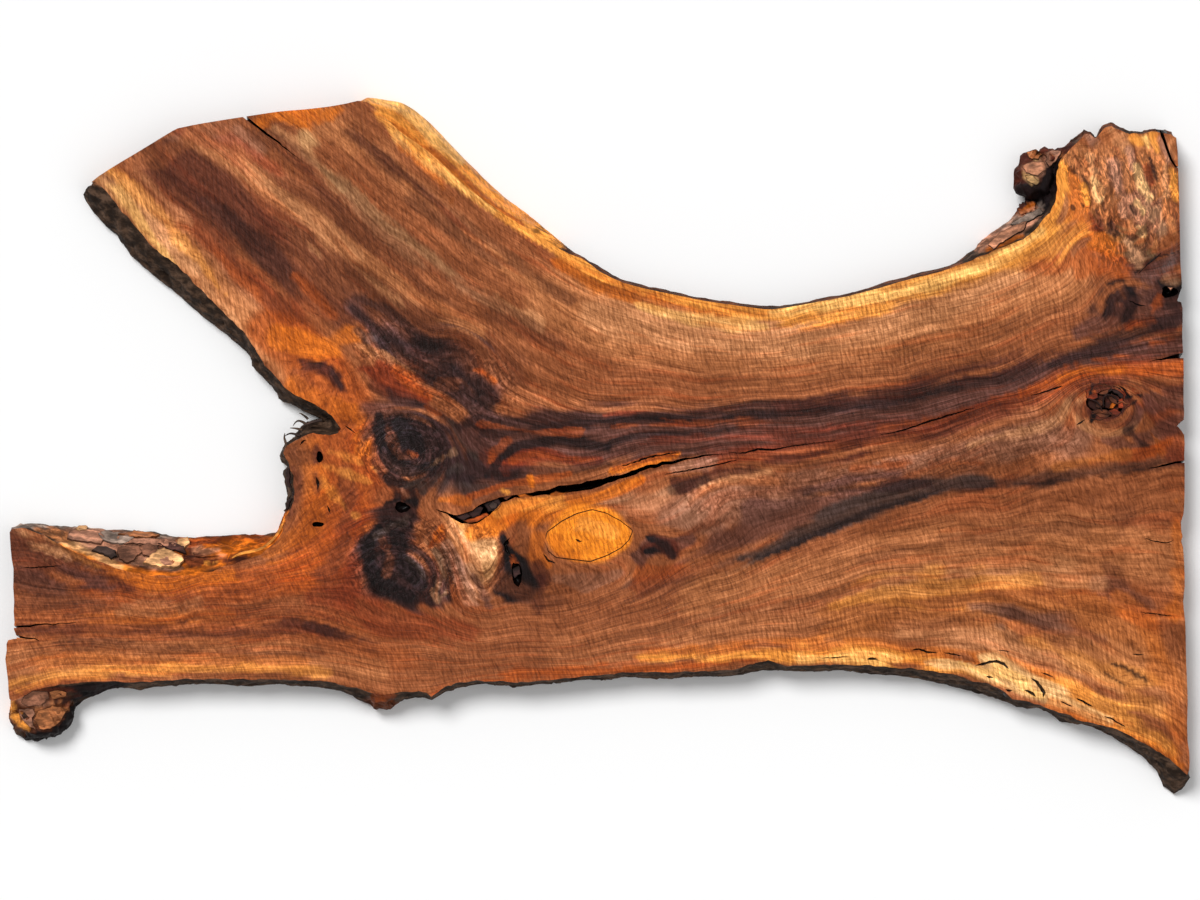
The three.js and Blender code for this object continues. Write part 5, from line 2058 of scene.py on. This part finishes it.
@dataclass
class Strands:
    """A set of torn fibres and ridges."""

    name: str
    strands: tuple[Strand, ...]

    def build(self) -> bpy.types.Object:
        """Builds the strands."""
        return joined([self._strand(strand) for strand in self.strands], self.name)

    @staticmethod
    def _strand(strand: Strand) -> bpy.types.Object:
        """Sweeps one strand along its line and turns it into a mesh.

        Args:
            strand: The strand.

        Returns:
            The strand's mesh.
        """
        clear_selection()
        bpy.ops.curve.primitive_nurbs_path_add(radius=0.01)
        curve = bpy.context.object.data
        curve.splines.clear()
        spline = curve.splines.new("NURBS")
        spline.points.add(len(strand.line) - 1)
        for point, (u, v, height, radius) in zip(spline.points, strand.line):
            x, y = SURVEY.at(u, v, height / MILLIMETRE)
            point.co = (float(x), float(y), height / MILLIMETRE, 1)
            point.radius = radius
        spline.order_u = 3
        spline.use_endpoint_u = True
        spline.resolution_u = 4
        curve.dimensions = "3D"
        curve.bevel_depth = 1 / MILLIMETRE
        curve.bevel_resolution = 1
        curve.use_fill_caps = True
        bpy.ops.object.convert(target="MESH")
        piece = bpy.context.object
        tint_piece(piece, strand.tint, np.ones(len(piece.data.vertices)))
        return piece


BARK_PLATES = Plate.read("""
BAST 3.5: 67 540, 69 534, 76 530, 88 531, 100 533, 104 540, 100 545, 84 543;
BARK_GREY 3.5: 98 536, 106 532, 124 535, 134 539, 126 545, 112 544, 102 541;
TAN 4.2: 118 536, 134 533, 152 534, 160 537, 150 539, 130 539;
BAST 3.5: 124 545, 134 539, 150 539, 166 540, 178 543, 176 548, 158 547, 140 544;
SLATE 4.5: 92 552, 97 548, 106 548, 115 552, 117 557, 111 560, 105 556, 97 554;
TAUPE 4.5: 117 549, 128 547, 139 547, 141 553, 134 561, 126 564, 119 560;
TAUPE 4: 139 549, 146 544, 157 546, 158 552, 150 557, 142 555;
BARK_TAN 5: 143 564, 149 559, 157 552, 163 549, 172 553, 182 557, 184 563, 177 569, 160 568, 148 566;
BARK_TAN 3.5: 177 541, 188 538, 190 545, 184 549, 177 547;
BARK_TAN 4.5: 76 531, 80 528, 88 529, 86 532, 79 533;
DUSK 4: 158 545, 170 544, 184 548, 186 556, 178 552, 166 549;
""")
# The cream facet on the knob is a painted highlight.
STUB_FACETS = Plate.read("""
TAUPE 2: 24 696, 33 691, 48 691, 49 698, 40 705, 27 706, 21 702;
TAN 2: 49 692, 58 690, 68 692, 66 696, 52 699;
TAN 2: 38 711, 52 706, 63 707, 67 710, 60 722, 50 729, 40 730, 34 720;
BAST 2: 19 709, 33 708, 35 712, 32 720, 36 730, 27 725, 20 716;
TAN 3: 1027 153, 1036 150, 1042 155, 1038 160, 1029 159;
PINK_CLAY 3: 1021 166, 1032 162, 1044 162, 1046 170, 1038 176, 1026 173;
CREAM 3: 1025 176, 1032 176, 1040 182, 1036 185, 1027 181;
BAST 3: 1047 153, 1056 150, 1062 152, 1057 160, 1050 168, 1046 162;
PINK_CLAY 3: 988 246, 1000 234, 1016 226, 1028 222, 1024 231, 1008 240, 994 250;
BARK_GREY 3: 1012 225, 1026 216, 1040 209, 1044 213, 1034 220, 1020 226;
""")
KNOT_SHARDS = Plate.read("""
WINE 12 50: 1086 394, 1094 396, 1104 396, 1104 408, 1096 412, 1087 408;
WINE 12 49.5: 1104 396, 1116 394, 1124 398, 1124 408, 1114 412, 1104 408;
RED 6 54.8 -.12 0: 1085 391, 1091 388, 1096 393, 1098 398, 1092 400, 1086 398;
UMBER 6 54.5 .06 -.2: 1090 387, 1096 384, 1105 384, 1111 388, 1106 395, 1099 395;
PLUM 6 54.5 .1 -.15: 1106 394, 1111 386, 1119 388, 1125 395, 1121 399, 1117 395, 1111 391;
UMBER 7 53.5 .2 .2: 1107 398, 1111 394, 1116 398, 1117 405, 1111 403;
ORANGE 7 54.5 -.2 .2: 1109 409, 1111 403, 1115 401, 1117 404, 1113 408;
RED 6 54.6 .1 .1: 1117 400, 1123 398, 1129 400, 1131 404, 1125 409, 1118 408;
UMBER 6 54.5 0 .15: 1090 412, 1098 409, 1106 410, 1112 413, 1106 419, 1098 421, 1091 419;
RED 5 54.6 .1 .1: 1107 412, 1114 409, 1121 412, 1119 416, 1112 417;
UMBER 6 52 .3 0: 1095 401, 1100 399, 1104 403, 1099 409, 1095 407;
""")
CRACK_SHARDS = Plate.read("""
PLUM 10 53.5 .15 .15: 483 504, 490 500, 498 499, 502 504, 497 511, 488 512;
SLATE 8 54.5 .1 .1: 488 506, 493 502, 498 504, 497 509, 491 510;
PLUM 9 53 .15 -.15: 468 514, 477 507, 484 508, 480 515, 472 518;
PLUM 8 52.5 .1 .1: 456 517, 466 512, 472 516, 464 521;
RUST 8 54.5 0 .1: 463 521, 474 518, 486 513, 490 515, 478 522, 468 524;
UMBER 8 53.5 .1 .1: 502 497, 508 493, 512 496, 506 501;
ORANGE 8 54.3: 518 496, 524 494, 530 496, 536 497, 530 499, 522 499;
RUST 8 53.8: 543 488, 548 485, 551 488, 547 491;
ORANGE 8 54.2: 549 495, 556 491, 563 493, 571 492, 562 497, 553 498;
PLUM 6 52.5 .2 .1: 512 570, 519 566, 521 574, 514 578;
BAST 8 53.5 .2 .2: 1164 284, 1171 281, 1176 286, 1170 291;
""")
FIBRES = Strand.read("""
GOLD: 232 558 49 1.2, 241 553 50.5 2.6, 252 552 50.5 2.4, 262 549 50 2.6, 270 543 50 2.2,
  277 536 49.5 2.4, 282 527 49 2, 285 518 48.5 1;
BARK: 306 424 46 2.2, 300 420 45 1.6, 295 422 43 1.1, 293 426 42 .4;
BARK: 308 419 44 2, 303 414 44 1.4, 299 413 43 .4;
SLATE: 300 436 46 2.2, 293 433 45 1.6, 287 434 43 1, 284 437 42 .4;
BARK: 302 430 40 2.2, 296 428 41 1.4, 290 428 41 .5;
SLATE: 322 420 50 2.4, 314 421 50 2.8, 307 424 49 1.6, 302 427 48 .5;
BARK: 292 452 40 2.4, 286 456 40 3, 285 461 38 1.8;
BARK: 291 470 36 2.2, 285 474 36 3, 286 480 34 1.6;
BARK: 292 492 38 2, 287 497 38 2.8, 288 503 36 1.6;
PLUM: 291 466 50 2.2, 287 471 50 4, 289 477 50 3, 287 482 50 3.4, 291 488 49 2;
PLUM: 293 484 50 1.6, 296 489 50 2.8, 293 495 50 3, 296 500 50 1.8;
PLUM: 292 498 49 1.6, 287 503 49 3, 289 508 49 2, 284 511 48 1;
BARK: 287 446 48 2, 285 441 47 2, 284 436 46 1, 285 433 45 .4;
PLUM: 1104 406 53.5 1, 1102 399 55 1.2, 1107 394 55.5 1.2, 1114 396 55.5 1.2, 1119 402 54.5 .9;
PLUM: 1087 398 54.5 .8, 1094 400 55.5 1.2, 1100 404 55 1.2, 1102 411 54 .8;
UMBER: 1117 404 54.5 .9, 1122 400 55.5 1.3, 1126 405 55.5 1.3, 1132 403 54.5 .7;
UMBER: 1092 414 54.5 .8, 1099 411 55.5 1.2, 1106 414 55.5 1.2, 1115 415 54.5 .7;
""")


@dataclass
class Studio:
    """The floor, the lights and the camera."""

    floor_half: float = 14.0
    floor_drop: float = 0.0005
    key: tuple = ("key_light", (-0.42, 0.5, 1.0), 2.25, 26)
    fill: tuple = ("fill_light", (0.6, -0.35, 1.0), 0.5, 60)
    light_distance: float = 4.0
    sky_strength: float = 0.3
    film: float = 36.0
    sight: float = 100.0

    def build(self) -> None:
        """Builds the studio."""
        clear_selection()
        bpy.ops.mesh.primitive_plane_add(size=2 * self.floor_half, location=(0, 0, -self.floor_drop))
        floor = bpy.context.object
        bpy.ops.object.transform_apply(location=True, rotation=True, scale=True)
        floor.name = "floor"
        floor.data.materials.append(FloorFinish().make())
        self._sun(*self.key)
        self._sun(*self.fill)
        world = bpy.data.worlds.new("studio")
        bpy.context.scene.world = world
        world.use_nodes = True
        sky = world.node_tree.nodes["Background"]
        sky.inputs["Color"].default_value = (1, 1, 1, 1)
        sky.inputs["Strength"].default_value = self.sky_strength
        bpy.context.scene.view_settings.view_transform = "Standard"
        self._camera()

    def _sun(self, name: str, way: tuple, strength: float, softness: float) -> None:
        """Adds a soft light from far away.

        Args:
            name: The light's name.
            way: The way towards the light.
            strength: How strong it is.
            softness: How wide it looks, in degrees.
        """
        lamp = bpy.data.lights.new(name, "SUN")
        lamp.energy = strength
        lamp.angle = math.radians(softness)
        light = bpy.data.objects.new(name, lamp)
        light.rotation_euler = Vector(way).to_track_quat("Z", "Y").to_euler()
        light.location = Vector(way) * self.light_distance
        bpy.context.collection.objects.link(light)

    def _camera(self) -> None:
        """Sets the camera on the survey's sight line."""
        lens = bpy.data.cameras.new("camera")
        lens.sensor_width = self.film
        lens.lens = self.film * SURVEY.distance / (2 * SURVEY.middle_u * SURVEY.unit)
        lens.clip_end = self.sight
        camera = bpy.data.objects.new("camera", lens)
        camera.location = SURVEY.eye()
        camera.rotation_euler = (SURVEY.lean, 0, 0)
        bpy.context.collection.objects.link(camera)
        bpy.context.scene.camera = camera


def main() -> None:
    """Builds the slab and the studio, and reports each piece."""
    logging.basicConfig(level=logging.INFO, format="%(message)s")
    slab = FineSlab().build()
    slab.data.materials.append(WalnutFinish().make())
    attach(slab, "root")
    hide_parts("slab")
    LOG.info("built %s", slab.name)
    bark = BarkFinish().make()
    for piece in (
        Plates("bark_plates", BARK_PLATES, ragged=1.2, rim_shade=0.4).build(slab),
        Plates("stub_and_knob_facets", STUB_FACETS, ragged=0.9).build(slab),
        Plates("knot_shards", KNOT_SHARDS, ragged=0.8).build(slab),
        Plates("crack_shards", CRACK_SHARDS, ragged=0.9).build(slab),
        Strands("torn_fibres", FIBRES).build(),
    ):
        piece.data.materials.append(bark)
        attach(piece, "root")
        LOG.info("built %s: %d faces", piece.name, len(piece.data.polygons))
    Studio().build()
    LOG.info("built the studio")


if __name__ == "__main__":
    main()
